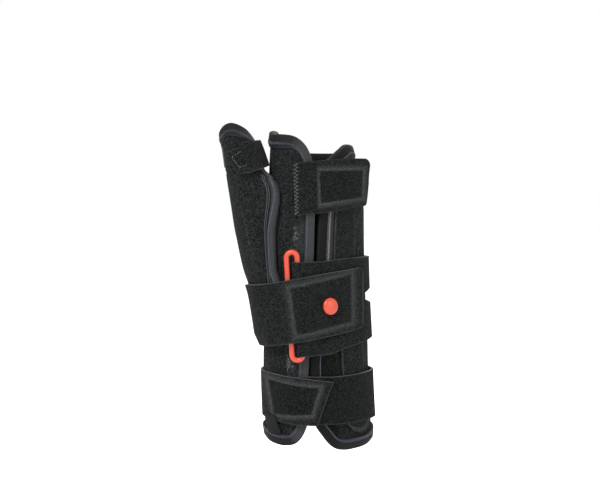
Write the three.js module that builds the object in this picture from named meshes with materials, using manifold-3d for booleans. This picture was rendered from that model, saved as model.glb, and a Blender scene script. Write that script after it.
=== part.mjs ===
// Thumb spica splint: a padded wrap for hand, wrist and forearm with a thumb gauntlet and four straps.
// Millimetres. +Z runs to the fingers, the lacing slit faces -Y, and the thumb is on the -X side.
// The origin is on the axis of the forearm, at the height of the wrist strap.
import * as THREE from 'three';
import { mergeVertices } from 'three/addons/utils/BufferGeometryUtils.js';
import Module from 'manifold-3d';

const wasm = await Module();
wasm.setup();

// Reach of the wrap from the wrist to its two rims
const PALM_REACH = 126;
const FOREARM_REACH = 100;

// Hollow of the wrap, side to side and front to back
const FOREARM_WIDTH = 73;
const FOREARM_DEPTH = 62;
const HAND_WIDTH = 65;
const HAND_DEPTH = 46;

// Outside of the thumb gauntlet at its widest, its tip above the wrist and its lean to the side
const THUMB_WIDTH = 36.8;
const THUMB_DEPTH = 41;
const THUMB_REACH = 134;
const THUMB_LEAN = 31;

// Cloth, tape and webbing
const CLEARANCE = 0.3;
const TAPE_EASE = 0.65;
const WRAP_WALL = 3;
const GAUNTLET_WALL = 2.4;
const GAUNTLET_EDGE_WALL = 1.0;
const TAPE = 1;
const TAPE_LEG = 6.6;
const SLIT_TAPE_LEG = 5.4;
const THUMB_TAPE_LEG = 2.6;
const STRAP = 1.6;
const RING_STRAP_WALL = 1.4;
const KEEPER = 0.8;
const POCKET = 2;
const SEAM_TAPE = 0.7;
const LABEL = 0.9;

// Widths of the straps, across their length
const PALM_STRAP_WIDTH = 36;
const RING_STRAP_WIDTH = 68;
const WRIST_STRAP_WIDTH = 45;
const FOREARM_STRAP_WIDTH = 35;
const THUMB_STRAP_WIDTH = 18;
const TAB_CORNER = 5;

// Pull ring and button
const RING_LENGTH = 79.8;
const RING_WIDTH = 11.3;
const RING_WIRE = 3.8;
const RING_MIDDLE = 3.4;
const RING_SIDE = 15.6;
const RING_LEAN = 4.8;
const BUTTON_WIDTH = 12;
const BUTTON_HEIGHT = 3.2;

// Hole in the wrap where the thumb leaves it
const THUMB_HOLE_LENGTH = 70;
const THUMB_HOLE_WIDTH = 17;

// Distance from the hollow to each layer that lies on the wrap
const ON_WRAP = WRAP_WALL + CLEARANCE;
const ON_TAPE = ON_WRAP + TAPE + CLEARANCE;
const ON_POCKET = ON_WRAP + POCKET + CLEARANCE;
const RING_MIDLINE = ON_TAPE + RING_STRAP_WALL + CLEARANCE + RING_WIRE / 2;

// Angles round the arm: -90 is the slit, 0 the right side, 90 the back, 180 the thumb's side
const FRONT = -90;
const FULL = 360;
const LEFT_OF_SLIT = FRONT - 20;
const THUMB_EDGE_SIDE = FRONT - 35;

// Sections of the hollow. at: share of the reach to the fingers (+) or to the elbow (-); hand: 0 for the
// forearm's sizes, 1 for the hand's; turn: how far the little finger's side lies behind the thumb's
const ARM = [
  { at: -1.0, hand: 0, wide: 1.0, deep: 1.0, turn: 0.29, shift: 0.035 },
  { at: -0.36, hand: 0, wide: 0.985, deep: 0.97, turn: 0.33, shift: 0.004 },
  { at: 0.135, hand: 0.5, wide: 0.97, deep: 0.93, turn: 0.5, shift: 0.008 },
  { at: 0.55, hand: 1, wide: 1.0, deep: 1.0, turn: 0.61, shift: 0.01 },
  { at: 0.83, hand: 1, wide: 0.88, deep: 0.93, turn: 0.55, shift: -0.037 },
  { at: 1.05, hand: 1, wide: 0.77, deep: 0.86, turn: 0.5, shift: -0.07 },
];

// Rims of the wrap, as shares of its reach to the fingers (+) or to the elbow (-), by angle in degrees
const RIMS = [
  { at: -96, top: 0.815, bottom: -0.825 },
  { at: -90, top: 0.827, bottom: -0.885 },
  { at: -82, top: 0.85, bottom: -0.955 },
  { at: -74, top: 0.874, bottom: -0.992 },
  { at: -62, top: 0.903, bottom: -1.005 },
  { at: -40, top: 0.935, bottom: -1.005 },
  { at: -15, top: 0.93, bottom: -0.985 },
  { at: 45, top: 0.89, bottom: -0.95 },
  { at: 95, top: 0.89, bottom: -0.94 },
  { at: 140, top: 0.97, bottom: -0.93 },
  { at: 168, top: 1.01, bottom: -0.915 },
  { at: 200, top: 0.985, bottom: -0.92 },
  { at: 225, top: 0.981, bottom: -0.95 },
  { at: 242, top: 0.974, bottom: -0.958 },
  { at: 254, top: 0.952, bottom: -0.948 },
  { at: 262, top: 0.92, bottom: -0.912 },
  { at: 267, top: 0.88, bottom: -0.86 },
  { at: 270, top: 0.85, bottom: -0.81 },
];

// The two sides of the slit, in degrees from the middle of the front, by height
const SLIT = [
  { at: -0.9, left: -15.5, right: -2.5 },
  { at: -0.4, left: -11.5, right: -6 },
  { at: 0.0, left: -9, right: -1.5 },
  { at: 0.5, left: -7, right: 2.2 },
  { at: 0.9, left: -4.5, right: 12 },
];

// Sections of the thumb gauntlet. at: share of its reach above the wrist; out: share of its lean;
// fore: share of its depth in front of the axis; free: 1 where its edges have left the wrap;
// edge: place of its edge on the back of the hand, as a share of half the hand's width
const THUMB = [
  { at: -0.3, out: -0.06, fore: 0.27, wide: 0.8, deep: 0.84, free: 0, edge: -0.9 },
  { at: 0.06, out: 0.085, fore: 0.3, wide: 0.95, deep: 0.98, free: 0, edge: -0.84 },
  { at: 0.13, out: 0.15, fore: 0.3, wide: 0.98, deep: 1.0, free: 0, edge: -0.8 },
  { at: 0.21, out: 0.26, fore: 0.31, wide: 0.99, deep: 1.0, free: 0, edge: -0.9 },
  { at: 0.4, out: 0.43, fore: 0.33, wide: 1.0, deep: 0.97, free: 0, edge: -0.94 },
  { at: 0.57, out: 0.575, fore: 0.36, wide: 0.95, deep: 0.87, free: 0.14, edge: -0.82 },
  { at: 0.65, out: 0.655, fore: 0.4, wide: 0.9, deep: 0.8, free: 0.42, edge: -0.72 },
  { at: 0.7, out: 0.72, fore: 0.44, wide: 0.84, deep: 0.75, free: 0.75, edge: -0.65 },
  { at: 0.745, out: 0.78, fore: 0.47, wide: 0.78, deep: 0.71, free: 1, edge: -0.6 },
  { at: 0.85, out: 0.88, fore: 0.47, wide: 0.7, deep: 0.62, free: 1, edge: -1.0 },
  { at: 0.95, out: 0.985, fore: 0.45, wide: 0.65, deep: 0.57, free: 1, edge: -1.0 },
  { at: 1.0, out: 1.0, fore: 0.44, wide: 0.63, deep: 0.55, free: 1, edge: -1.0 },
];
const THUMB_FOOT = -27;

// Rim and lower edge of the gauntlet, by share of the way from its edge in front to its edge behind
const GAUNTLET_RIMS = [
  { at: 0.0, top: 0.905, bottom: 0.1 },
  { at: 0.1, top: 0.953, bottom: 0.08 },
  { at: 0.22, top: 0.982, bottom: 0.035 },
  { at: 0.36, top: 0.968, bottom: -0.04 },
  { at: 0.5, top: 0.935, bottom: -0.13 },
  { at: 0.7, top: 0.92, bottom: -0.13 },
  { at: 1.0, top: 0.9, bottom: -0.06 },
];

// Smooth value of one named column of a table
function read(rows, column, at) {
  const last = rows.length - 1;
  if (at <= rows[0].at) return rows[0][column];
  if (at >= rows[last].at) return rows[last][column];
  const rise = (i) => (rows[i + 1][column] - rows[i][column]) / (rows[i + 1].at - rows[i].at);
  const slope = (i) => {
    if (i === 0) return rise(0);
    if (i === last) return rise(last - 1);
    const before = rise(i - 1);
    const after = rise(i);
    return before * after <= 0 ? 0 : (2 * before * after) / (before + after);
  };
  const i = rows.findIndex((row) => row.at > at) - 1;
  const span = rows[i + 1].at - rows[i].at;
  const t = (at - rows[i].at) / span;
  const hill = t * t * (3 - 2 * t);
  const bend = t * (1 - t) * (1 - t) * span * slope(i) - t * t * (1 - t) * span * slope(i + 1);
  return rows[i][column] * (1 - hill) + rows[i + 1][column] * hill + bend;
}

const mix = THREE.MathUtils.lerp;
const turn = THREE.MathUtils.degToRad;
const height = (share) => share * (share > 0 ? PALM_REACH : FOREARM_REACH);
const heightShare = (z) => z / (z > 0 ? PALM_REACH : FOREARM_REACH);
const steps = (count, from, to) => Array.from({ length: count + 1 }, (_, i) => mix(from, to, i / count));

function armSection(z) {
  const at = heightShare(z);
  const hand = read(ARM, 'hand', at);
  const width = mix(FOREARM_WIDTH, HAND_WIDTH, hand);
  const deep = read(ARM, 'deep', at) * mix(FOREARM_DEPTH, HAND_DEPTH, hand) / 2;
  return {
    shift: read(ARM, 'shift', at) * width,
    wide: read(ARM, 'wide', at) * width / 2,
    deep,
    turn: read(ARM, 'turn', at) * deep,
  };
}

// A point at a distance outside the hollow, by angle in degrees and height
function onArm(degrees, z, out) {
  const arm = armSection(z);
  const angle = turn(degrees);
  const along = new THREE.Vector2(
    -arm.wide * Math.sin(angle),
    arm.deep * Math.cos(angle) - arm.turn * Math.sin(angle),
  ).normalize();
  return new THREE.Vector3(
    arm.shift + arm.wide * Math.cos(angle) + along.y * out,
    arm.deep * Math.sin(angle) + arm.turn * Math.cos(angle) - along.x * out,
    z,
  );
}

// Millimetres along the surface for one degree
function perDegree(degrees, z, out) {
  return onArm(degrees + 0.5, z, out).distanceTo(onArm(degrees - 0.5, z, out));
}

// Angle and distance outside the hollow of a point
function locate(point) {
  const arm = armSection(point.z);
  const side = (point.x - arm.shift) / arm.wide;
  let degrees = THREE.MathUtils.radToDeg(Math.atan2((point.y - arm.turn * side) / arm.deep, side));
  for (let round = 0; round < 12; round += 1) {
    const along = onArm(degrees + 0.5, point.z, 0).sub(onArm(degrees - 0.5, point.z, 0));
    const missing = point.clone().sub(onArm(degrees, point.z, 0));
    degrees += missing.dot(along) / along.lengthSq() * 0.7;
  }
  const foot = onArm(degrees, point.z, 0);
  const outward = onArm(degrees, point.z, 1).sub(foot);
  return { degrees, out: point.clone().sub(foot).dot(outward) };
}

// Angle on the front or back of the wrap where it crosses a given x
function angleAt(x, z, out, guess) {
  let degrees = guess;
  for (let round = 0; round < 12; round += 1) {
    const slope = onArm(degrees + 0.5, z, out).x - onArm(degrees - 0.5, z, out).x;
    degrees += (x - onArm(degrees, z, out).x) / slope;
  }
  return degrees;
}

// A closed mesh whose faces point out, from its points and triangles
function closed(points, triangles) {
  let volume = 0;
  for (const [a, b, c] of triangles) {
    volume += points[a].dot(new THREE.Vector3().crossVectors(points[b], points[c]));
  }
  const faces = volume > 0 ? triangles : triangles.map(([a, b, c]) => [a, c, b]);
  const geometry = new THREE.BufferGeometry();
  geometry.setAttribute('position', new THREE.Float32BufferAttribute(points.flatMap((p) => p.toArray()), 3));
  geometry.setIndex(faces.flat());
  return geometry;
}

// A sheet between two grids of points, as columns of rows; a looped one joins its last column to its first
function slab(inner, outer, looped = false) {
  const columns = inner.length;
  const rows = inner[0].length;
  const points = [...inner.flat(), ...outer.flat()];
  const near = (i, j) => (i % columns) * rows + j;
  const far = (i, j) => columns * rows + near(i, j);
  const triangles = [];
  const quad = (a, b, c, d) => triangles.push([a, b, c], [a, c, d]);
  for (let i = 0; i < columns - (looped ? 0 : 1); i += 1) {
    for (let j = 0; j < rows - 1; j += 1) {
      quad(near(i, j), near(i, j + 1), near(i + 1, j + 1), near(i + 1, j));
      quad(far(i, j), far(i + 1, j), far(i + 1, j + 1), far(i, j + 1));
    }
    quad(near(i, 0), near(i + 1, 0), far(i + 1, 0), far(i, 0));
    quad(near(i, rows - 1), far(i, rows - 1), far(i + 1, rows - 1), near(i + 1, rows - 1));
  }
  if (!looped) {
    for (let j = 0; j < rows - 1; j += 1) {
      quad(near(0, j), far(0, j), far(0, j + 1), near(0, j + 1));
      const end = columns - 1;
      quad(near(end, j), near(end, j + 1), far(end, j + 1), far(end, j));
    }
  }
  return closed(points, triangles);
}

// A sheet whose point at a column and row is given by a function of those and of the side of the sheet
function sheet(columns, rows, place) {
  const grid = (side) => columns.map((column) => rows.map((row) => place(column, row, side)));
  return slab(grid(0), grid(1));
}

// A closed round wire along a looped line of stations, each with its centre and two directions across
function wire(stations, radius, sides) {
  const angles = steps(sides, 0, FULL).slice(0, -1).map(turn);
  const points = stations.flatMap(({ centre, across, up }) => angles.map((angle) => centre
    .clone()
    .addScaledVector(across, radius * Math.cos(angle))
    .addScaledVector(up, radius * Math.sin(angle))));
  const triangles = [];
  stations.forEach((_, i) => {
    const next = (i + 1) % stations.length;
    for (let j = 0; j < sides; j += 1) {
      const over = (j + 1) % sides;
      triangles.push([i * sides + j, next * sides + j, next * sides + over]);
      triangles.push([i * sides + j, next * sides + over, i * sides + over]);
    }
  });
  return closed(points, triangles);
}

function toSolid(geometry) {
  const bare = geometry.clone();
  bare.deleteAttribute('normal');
  bare.deleteAttribute('uv');
  const merged = mergeVertices(bare, 1e-4);
  const count = merged.attributes.position.count;
  const order = merged.index ? merged.index.array : Array.from({ length: count }, (_, i) => i);
  const triVerts = new Uint32Array(order);
  const vertProperties = new Float32Array(merged.attributes.position.array);
  return new wasm.Manifold(new wasm.Mesh({ numProp: 3, vertProperties, triVerts }));
}

function fromSolid(solid) {
  const mesh = solid.getMesh();
  const geometry = new THREE.BufferGeometry();
  geometry.setAttribute('position', new THREE.Float32BufferAttribute(mesh.vertProperties, 3));
  geometry.setIndex(Array.from(mesh.triVerts));
  return geometry;
}

const THUMB_HOLE_ANGLE = 176;
const THUMB_HOLE_HEIGHT = 0.4;

// Wrap: its columns run from the right side of the slit round the back to the left side
const slitRight = (z) => FRONT + read(SLIT, 'right', heightShare(z));
const slitLeft = (z) => FRONT + FULL + read(SLIT, 'left', heightShare(z));
const EDGE_SHARES = [0, 0.009, 0.02, 0.034, 0.052];
const wrapColumns = [
  ...EDGE_SHARES,
  ...steps(30, 0.077, 0.923),
  ...EDGE_SHARES.map((share) => 1 - share).reverse(),
];
const wrapRows = [0, ...steps(11, 0.03, 0.97), 1];

// Place on the wrap by share round it and share up it; its height follows the two rims
function wrapPlace(round, up) {
  const rimAngle = mix(RIMS[0].at, RIMS[RIMS.length - 1].at, round);
  const z = mix(height(read(RIMS, 'bottom', rimAngle)), height(read(RIMS, 'top', rimAngle)), up);
  return { degrees: mix(slitRight(z), slitLeft(z), round), z };
}

function makeWrap() {
  const cloth = sheet(wrapColumns, wrapRows, (round, up, side) => {
    const { degrees, z } = wrapPlace(round, up);
    return onArm(degrees, z, side * WRAP_WALL);
  });
  const middle = onArm(THUMB_HOLE_ANGLE, height(THUMB_HOLE_HEIGHT), 0);
  const outline = new THREE.Shape();
  outline.absellipse(middle.y, middle.z, THUMB_HOLE_WIDTH / 2, THUMB_HOLE_LENGTH / 2, 0, 2 * Math.PI);
  const through = { depth: HAND_WIDTH / 2, bevelEnabled: false, curveSegments: 16 };
  const hole = new THREE.ExtrudeGeometry(outline, through);
  const lay = new THREE.Matrix4().makeBasis(
    new THREE.Vector3(0, 1, 0),
    new THREE.Vector3(0, 0, 1),
    new THREE.Vector3(1, 0, 0),
  );
  hole.applyMatrix4(lay);
  hole.translate(middle.x - HAND_WIDTH / 4, 0, 0);
  return fromSolid(toSolid(cloth).subtract(toSolid(hole)));
}

// Thumb gauntlet: its section at a height as a smooth line from the front edge round the thumb to the back
function thumbSection(z) {
  const at = z / THUMB_REACH;
  const side = THUMB_FOOT - read(THUMB, 'out', at) * THUMB_LEAN;
  return {
    centre: new THREE.Vector3(side, -read(THUMB, 'fore', at) * THUMB_DEPTH, z),
    wide: read(THUMB, 'wide', at) * THUMB_WIDTH / 2,
    deep: read(THUMB, 'deep', at) * THUMB_DEPTH / 2,
    free: read(THUMB, 'free', at),
    edge: read(THUMB, 'edge', at),
  };
}

const GAUNTLET_FROM = ON_WRAP + TAPE + TAPE_EASE + GAUNTLET_WALL / 2;
const THUMB_ROUND = [-98, -120, -142, -164, -186, -208, -230];
const FREE_FRONT = -20;
const FREE_BACK = 40 - FULL;
const FREE_TURN = 36;
const BACK_LANDING = 150;
const SEAT_TURN = 8;
const SEAT_RISE = 1.5;

function roundThumb(section, degrees, out) {
  const angle = turn(degrees);
  const side = Math.cos(angle) * (section.wide + out);
  const back = Math.sin(angle) * (section.deep + out);
  return section.centre.clone().add(new THREE.Vector3(side, back, 0));
}

function gauntletLine(z) {
  const section = thumbSection(z);
  const half = -GAUNTLET_WALL / 2;
  const handSide = section.edge * HAND_WIDTH / 2;
  const landing = angleAt(handSide, z, GAUNTLET_FROM, THUMB_EDGE_SIDE);
  const seated = (degrees, around, rise) => (
    onArm(degrees, z, GAUNTLET_FROM + rise).lerp(roundThumb(section, around, half), section.free));
  const front = [seated(landing, FREE_FRONT, 0), seated(landing - SEAT_TURN, FREE_FRONT - FREE_TURN, SEAT_RISE)];
  const behind = [
    seated(BACK_LANDING + SEAT_TURN, FREE_BACK + FREE_TURN, SEAT_RISE),
    seated(BACK_LANDING, FREE_BACK, 0),
  ];
  const points = THUMB_ROUND.map((degrees) => roundThumb(section, degrees, half));
  return new THREE.CatmullRomCurve3([...front, ...points, ...behind], false, 'centripetal');
}

const LINE_STEPS = 40;
const PRESSED_TO = 0.05;
const FULL_WALL_FROM = 0.12;

// Point of the gauntlet's middle surface, kept clear of the wrap, and straight on past its two edges
function gauntletMiddle(round, z) {
  const inside = THREE.MathUtils.clamp(round, 0, 1);
  const line = gauntletLine(z);
  const point = line.getPoint(inside);
  if (inside !== round) {
    const before = line.getPoint(inside === 0 ? 1 / LINE_STEPS : 1 - 1 / LINE_STEPS);
    point.lerp(before, -Math.abs(round - inside) * LINE_STEPS);
  }
  const seat = locate(point);
  return seat.out < GAUNTLET_FROM ? onArm(seat.degrees, z, GAUNTLET_FROM) : point;
}

// Share round the gauntlet at a distance along its section from another share
function alongGauntlet(round, distance, z) {
  const step = Math.sign(distance) / LINE_STEPS / 8;
  let share = round;
  let left = Math.abs(distance);
  let here = gauntletMiddle(share, z);
  while (left > 0) {
    const next = gauntletMiddle(share + step, z);
    const span = here.distanceTo(next);
    share += step * Math.min(1, left / span);
    left -= span;
    here = next;
  }
  return share;
}

function onGauntlet(round, z, out) {
  const near = 1 / LINE_STEPS / 2;
  const before = gauntletMiddle(round - near, z);
  const after = gauntletMiddle(round + near, z);
  const along = after.sub(before).normalize();
  const outward = new THREE.Vector3(-along.y, along.x, 0);
  return gauntletMiddle(round, z).addScaledVector(outward, out);
}

const gauntletColumns = [0, 0.02, 0.04, 0.07, ...steps(18, 0.1, 0.9), 0.93, 0.96, 0.98, 1];
const gauntletRows = [0, 0.14, 0.28, 0.42, 0.53, ...steps(9, 0.59, 0.86), 0.91, 0.96, 1];

function gauntletPlace(round, up) {
  const bottom = read(GAUNTLET_RIMS, 'bottom', round) * THUMB_REACH;
  const top = read(GAUNTLET_RIMS, 'top', round) * THUMB_REACH;
  return mix(bottom, top, up);
}

// The cloth is pressed thin where its tape folds over it
function makeGauntlet() {
  return sheet(gauntletColumns, gauntletRows, (round, up, side) => {
    const pressed = 1 - THREE.MathUtils.smoothstep(Math.min(round, 1 - round), PRESSED_TO, FULL_WALL_FROM);
    const wall = mix(GAUNTLET_WALL, GAUNTLET_EDGE_WALL, pressed);
    return onGauntlet(round, gauntletPlace(round, up), (side - 0.5) * wall);
  });
}

// Tape folded over an edge of a wall: an outer leg, the fold and an inner leg, as a bent sheet. Each station
// gives the length of the leg and a point at a distance in from the edge and out from the wall's middle
function foldedTape(stations, wall, ease, looped) {
  const grid = (gap) => stations.map(({ leg, point }) => [
    point(leg, wall / 2 + gap),
    point(-gap, wall / 2 + gap),
    point(-gap, -wall / 2 - gap),
    point(leg, -wall / 2 - gap),
  ]);
  return slab(grid(ease), grid(ease + TAPE), looped);
}

// Direction into a sheet from its edge, in millimetres along it, between two neighbours on that edge
function inwardFrom(before, after) {
  const way = new THREE.Vector2(after[0] - before[0], after[1] - before[1]).normalize();
  return new THREE.Vector2(way.y, -way.x);
}

// The whole edge of the wrap as one looped line: up the right side of the slit, round the rim and back
function wrapEdge() {
  const up = wrapRows.slice(0, -1).map((row) => wrapPlace(0, row));
  const over = wrapColumns.slice(0, -1).map((column) => wrapPlace(column, 1));
  const down = wrapRows.slice(1).reverse().map((row) => wrapPlace(1, row));
  const under = wrapColumns.slice(1).reverse().map((column) => wrapPlace(column, 0));
  return [...up, ...over, ...down, ...under];
}

function makeWrapBinding() {
  const line = wrapEdge();
  const stations = line.map(({ degrees, z }, i) => {
    const before = line[(i + line.length - 1) % line.length];
    const after = line[(i + 1) % line.length];
    const scale = perDegree(degrees, z, WRAP_WALL / 2);
    const inward = inwardFrom([before.degrees * scale, before.z], [after.degrees * scale, after.z]);
    return {
      leg: mix(TAPE_LEG, SLIT_TAPE_LEG, Math.abs(inward.x)),
      point: (along, out) => onArm(degrees + inward.x * along / scale, z + inward.y * along, WRAP_WALL / 2 + out),
    };
  });
  return foldedTape(stations, WRAP_WALL, CLEARANCE, true);
}

// The gauntlet's tape runs up its edge on the back of the hand, over the rim and down the edge behind
function makeThumbBinding() {
  const up = gauntletRows.slice(0, -1).map((row) => [0, gauntletPlace(0, row)]);
  const over = gauntletColumns.map((column) => [column, gauntletPlace(column, 1)]);
  const down = gauntletRows.slice(0, -1).reverse().map((row) => [1, gauntletPlace(1, row)]);
  const line = [...up, ...over, ...down];
  const stations = line.map(([round, z], i) => {
    const before = line[Math.max(i - 1, 0)];
    const after = line[Math.min(i + 1, line.length - 1)];
    const inner = THREE.MathUtils.clamp(round, 1 / LINE_STEPS, 1 - 1 / LINE_STEPS);
    const around = gauntletMiddle(inner + 1 / LINE_STEPS, z).sub(gauntletMiddle(inner - 1 / LINE_STEPS, z));
    const scale = around.length() * LINE_STEPS / 2;
    const inward = inwardFrom([before[0] * scale, before[1]], [after[0] * scale, after[1]]);
    return {
      leg: THUMB_TAPE_LEG,
      point: (along, out) => {
        const level = z + inward.y * along;
        return onGauntlet(alongGauntlet(round, inward.x * along, level), level, out);
      },
    };
  });
  return foldedTape(stations, GAUNTLET_WALL, TAPE_EASE, false);
}

// A strap between two sides of its middle surface; its columns of points run in horizontal planes
function ribbon(middle, thickness) {
  const shifted = (out) => middle.map((column, i) => column.map((point, j) => {
    const before = middle[Math.max(i - 1, 0)][j];
    const after = middle[Math.min(i + 1, middle.length - 1)][j];
    const along = after.clone().sub(before).setZ(0).normalize();
    return point.clone().add(new THREE.Vector3(along.y, -along.x, 0).multiplyScalar(out));
  }));
  return slab(shifted(-thickness / 2), shifted(thickness / 2));
}

// Shares of a strap's length at which its columns stand, close together where an end has round corners
function strapColumns(count, length, roundEnd) {
  const corner = TAB_CORNER / length;
  const close = [0.5, 0.15, 0].map((share) => 1 - corner * share);
  return roundEnd ? [...steps(count, 0, 1 - corner), ...close] : steps(count, 0, 1);
}

// How much a round corner takes off each side of a strap, near its end
function cornerCut(toEnd) {
  const into = Math.max(TAB_CORNER - toEnd, 0);
  return TAB_CORNER - Math.sqrt(TAB_CORNER * TAB_CORNER - into * into);
}

const strapRows = steps(4, -0.5, 0.5);

// Seat of a strap that crosses the tape of the slit and the pocket, by angle
const FRONT_SEAT = [
  { at: -90, out: ON_TAPE },
  { at: -76, out: ON_POCKET },
  { at: -14, out: ON_POCKET },
  { at: 8, out: ON_WRAP },
  { at: 90, out: ON_WRAP },
];

// Palm strap: sewn left of the slit; its tab stands off where the hand narrows
const PALM_STRAP_LENGTH = 66;
const PALM_STRAP = [
  { at: 0, middle: 0.68, wide: 1.04, lift: 0 },
  { at: 0.35, middle: 0.695, wide: 1.03, lift: 0 },
  { at: 0.7, middle: 0.715, wide: 0.99, lift: 0.35 },
  { at: 1, middle: 0.725, wide: 0.95, lift: 1 },
];
const PALM_STRAP_START = -0.49;
const PALM_TAB_LIFT = 9;
const PALM_TAB_LOW = 0.2;
const PALM_TAB_SLANT = 4.5;
const PALM_TAB_CROP = 1.5;
const PALM_MIDDLE_ANGLE = FRONT + 40;

function makePalmStrap() {
  const middle = strapColumns(12, PALM_STRAP_LENGTH, true).map((share) => {
    const level = height(read(PALM_STRAP, 'middle', share));
    const start = angleAt(PALM_STRAP_START * HAND_WIDTH / 2, level, ON_TAPE, LEFT_OF_SLIT);
    const scale = perDegree(PALM_MIDDLE_ANGLE, level, ON_TAPE);
    const width = PALM_STRAP_WIDTH * read(PALM_STRAP, 'wide', share);
    const cut = cornerCut((1 - share) * PALM_STRAP_LENGTH);
    return strapRows.map((row) => {
      const z = level + row * (width - 2 * cut);
      const lift = PALM_TAB_LIFT * read(PALM_STRAP, 'lift', share) * mix(PALM_TAB_LOW, 1, row + 0.5);
      const length = PALM_STRAP_LENGTH - (PALM_TAB_CROP + PALM_TAB_SLANT * (0.5 - row)) * share;
      const degrees = start + share * length / scale;
      return onArm(degrees, z, read(FRONT_SEAT, 'out', degrees) + STRAP / 2 + lift);
    });
  });
  return ribbon(middle, STRAP);
}

// Pull ring: a long loop that stands on the straps left of the slit and leans to the right at its foot
const ringEnd = (end) => {
  const z = RING_MIDDLE + end * RING_LENGTH / 2;
  return onArm(angleAt(-RING_SIDE - end * RING_LEAN / 2, z, RING_MIDLINE, LEFT_OF_SLIT), z, RING_MIDLINE);
};
const ringFoot = ringEnd(-1);
const ringHead = ringEnd(1);
const ringMiddle = ringFoot.clone().lerp(ringHead, 0.5);
const ringAlong = ringHead.clone().sub(ringFoot).normalize();
const ringOut = (() => {
  const seat = locate(ringMiddle);
  const outward = onArm(seat.degrees, ringMiddle.z, 1).sub(onArm(seat.degrees, ringMiddle.z, 0));
  return outward.addScaledVector(ringAlong, -outward.dot(ringAlong)).normalize();
})();
const ringAcross = new THREE.Vector3().crossVectors(ringOut, ringAlong).negate().normalize();
const RING_BEND = (RING_WIDTH - RING_WIRE) / 2;
const RING_STRAIGHT = (RING_LENGTH - RING_WIDTH) / 2;
const RING_SIDES = 10;

function makePullRing() {
  const station = (degrees, end) => {
    const radial = ringAcross.clone().multiplyScalar(Math.cos(turn(degrees)));
    radial.addScaledVector(ringAlong, Math.sin(turn(degrees)));
    const bend = ringMiddle.clone().addScaledVector(ringAlong, end * RING_STRAIGHT);
    return { centre: bend.addScaledVector(radial, RING_BEND), across: radial, up: ringOut };
  };
  const head = steps(8, 0, 180).map((degrees) => station(degrees, 1));
  const foot = steps(8, 180, 360).map((degrees) => station(degrees, -1));
  return wire([...head, ...foot], RING_WIRE / 2, RING_SIDES);
}

// Centre of a leg of the ring at a height, as its angle and distance on the arm; side is 1 right, -1 left
function ringLeg(side, z) {
  const beside = ringMiddle.clone().addScaledVector(ringAcross, side * RING_BEND);
  const point = beside.addScaledVector(ringAlong, (z - beside.z) / ringAlong.z);
  const seat = locate(point);
  return { ...seat, scale: perDegree(seat.degrees, z, seat.out) };
}

// Ring strap: folded round the right leg of the ring, then over the pocket and round to the back
const RING_STRAP_LAP = [14, 10, 6, 2];
const RING_STRAP_RISE = [3, 7, 11, 15, 19];
const RING_STRAP_LOOSE = 0.6;
const RING_STRAP_BACK = 66;
const RING_STRAP = [
  { at: 0, top: 0.506, bottom: -0.466 },
  { at: 0.17, top: 0.53, bottom: -0.4 },
  { at: 0.5, top: 0.535, bottom: -0.34 },
  { at: 1, top: 0.515, bottom: -0.29 },
];
const FORK_FROM = -38;
const FORK_OPEN = 11;
const FORK_OPENS_FROM = -50;
const FORK_OPENS_TO = -3;
const FORK_MIDDLE = 0.11;
const ringStrapRows = steps(6, 0, 1);

function makeRingStrap() {
  const around = RING_WIRE / 2 + CLEARANCE + RING_STRAP_WALL / 2;
  const last = RING_STRAP_RISE.length;
  const places = [
    ...RING_STRAP_LAP.map((past) => ({ past, over: -around })),
    ...steps(6, -90, -270).map(turn).map((angle) => ({
      past: Math.cos(angle) * (around + RING_STRAP_LOOSE),
      over: Math.sin(angle) * around,
    })),
    ...RING_STRAP_RISE.map((past, i) => ({ past, down: (i + 1) / last })),
    ...steps(16, 0, 1).slice(1).map((share) => ({ share })),
  ];
  const middle = places.map(({ past, over, down, share }) => {
    const progress = share === undefined ? 0 : share;
    const top = read(RING_STRAP, 'top', progress) * RING_STRAP_WIDTH;
    const bottom = read(RING_STRAP, 'bottom', progress) * RING_STRAP_WIDTH;
    return ringStrapRows.map((row) => {
      const z = mix(bottom, top, row);
      const leg = ringLeg(1, z);
      const landing = leg.degrees + RING_STRAP_RISE[last - 1] / leg.scale;
      const degrees = share === undefined ? leg.degrees + past / leg.scale : mix(landing, RING_STRAP_BACK, share);
      const seat = read(FRONT_SEAT, 'out', degrees) + RING_STRAP_WALL / 2;
      if (over !== undefined) return onArm(degrees, z, leg.out + over);
      const lowered = down === undefined ? 1 : (1 - Math.cos(Math.PI * down)) / 2;
      return onArm(degrees, z, mix(leg.out + around, seat, lowered));
    });
  });
  const strap = toSolid(ribbon(middle, RING_STRAP_WALL));
  const slot = sheet(steps(10, FORK_FROM, RING_STRAP_BACK + 5), steps(2, -0.5, 0.5), (degrees, row, side) => {
    const open = FORK_OPEN * THREE.MathUtils.smoothstep(degrees, FORK_OPENS_FROM, FORK_OPENS_TO);
    return onArm(degrees, FORK_MIDDLE * RING_STRAP_WIDTH + row * open, mix(0, 2 * ON_POCKET + STRAP, side));
  });
  return fromSolid(strap.subtract(toSolid(slot)));
}

// Keeper: webbing over the left leg of the ring, with a foot on the wrap on each side of it
const KEEPER_MIDDLE = -8;
const KEEPER_WIDTH = 22;
const KEEPER_FOOT = 9;

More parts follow.
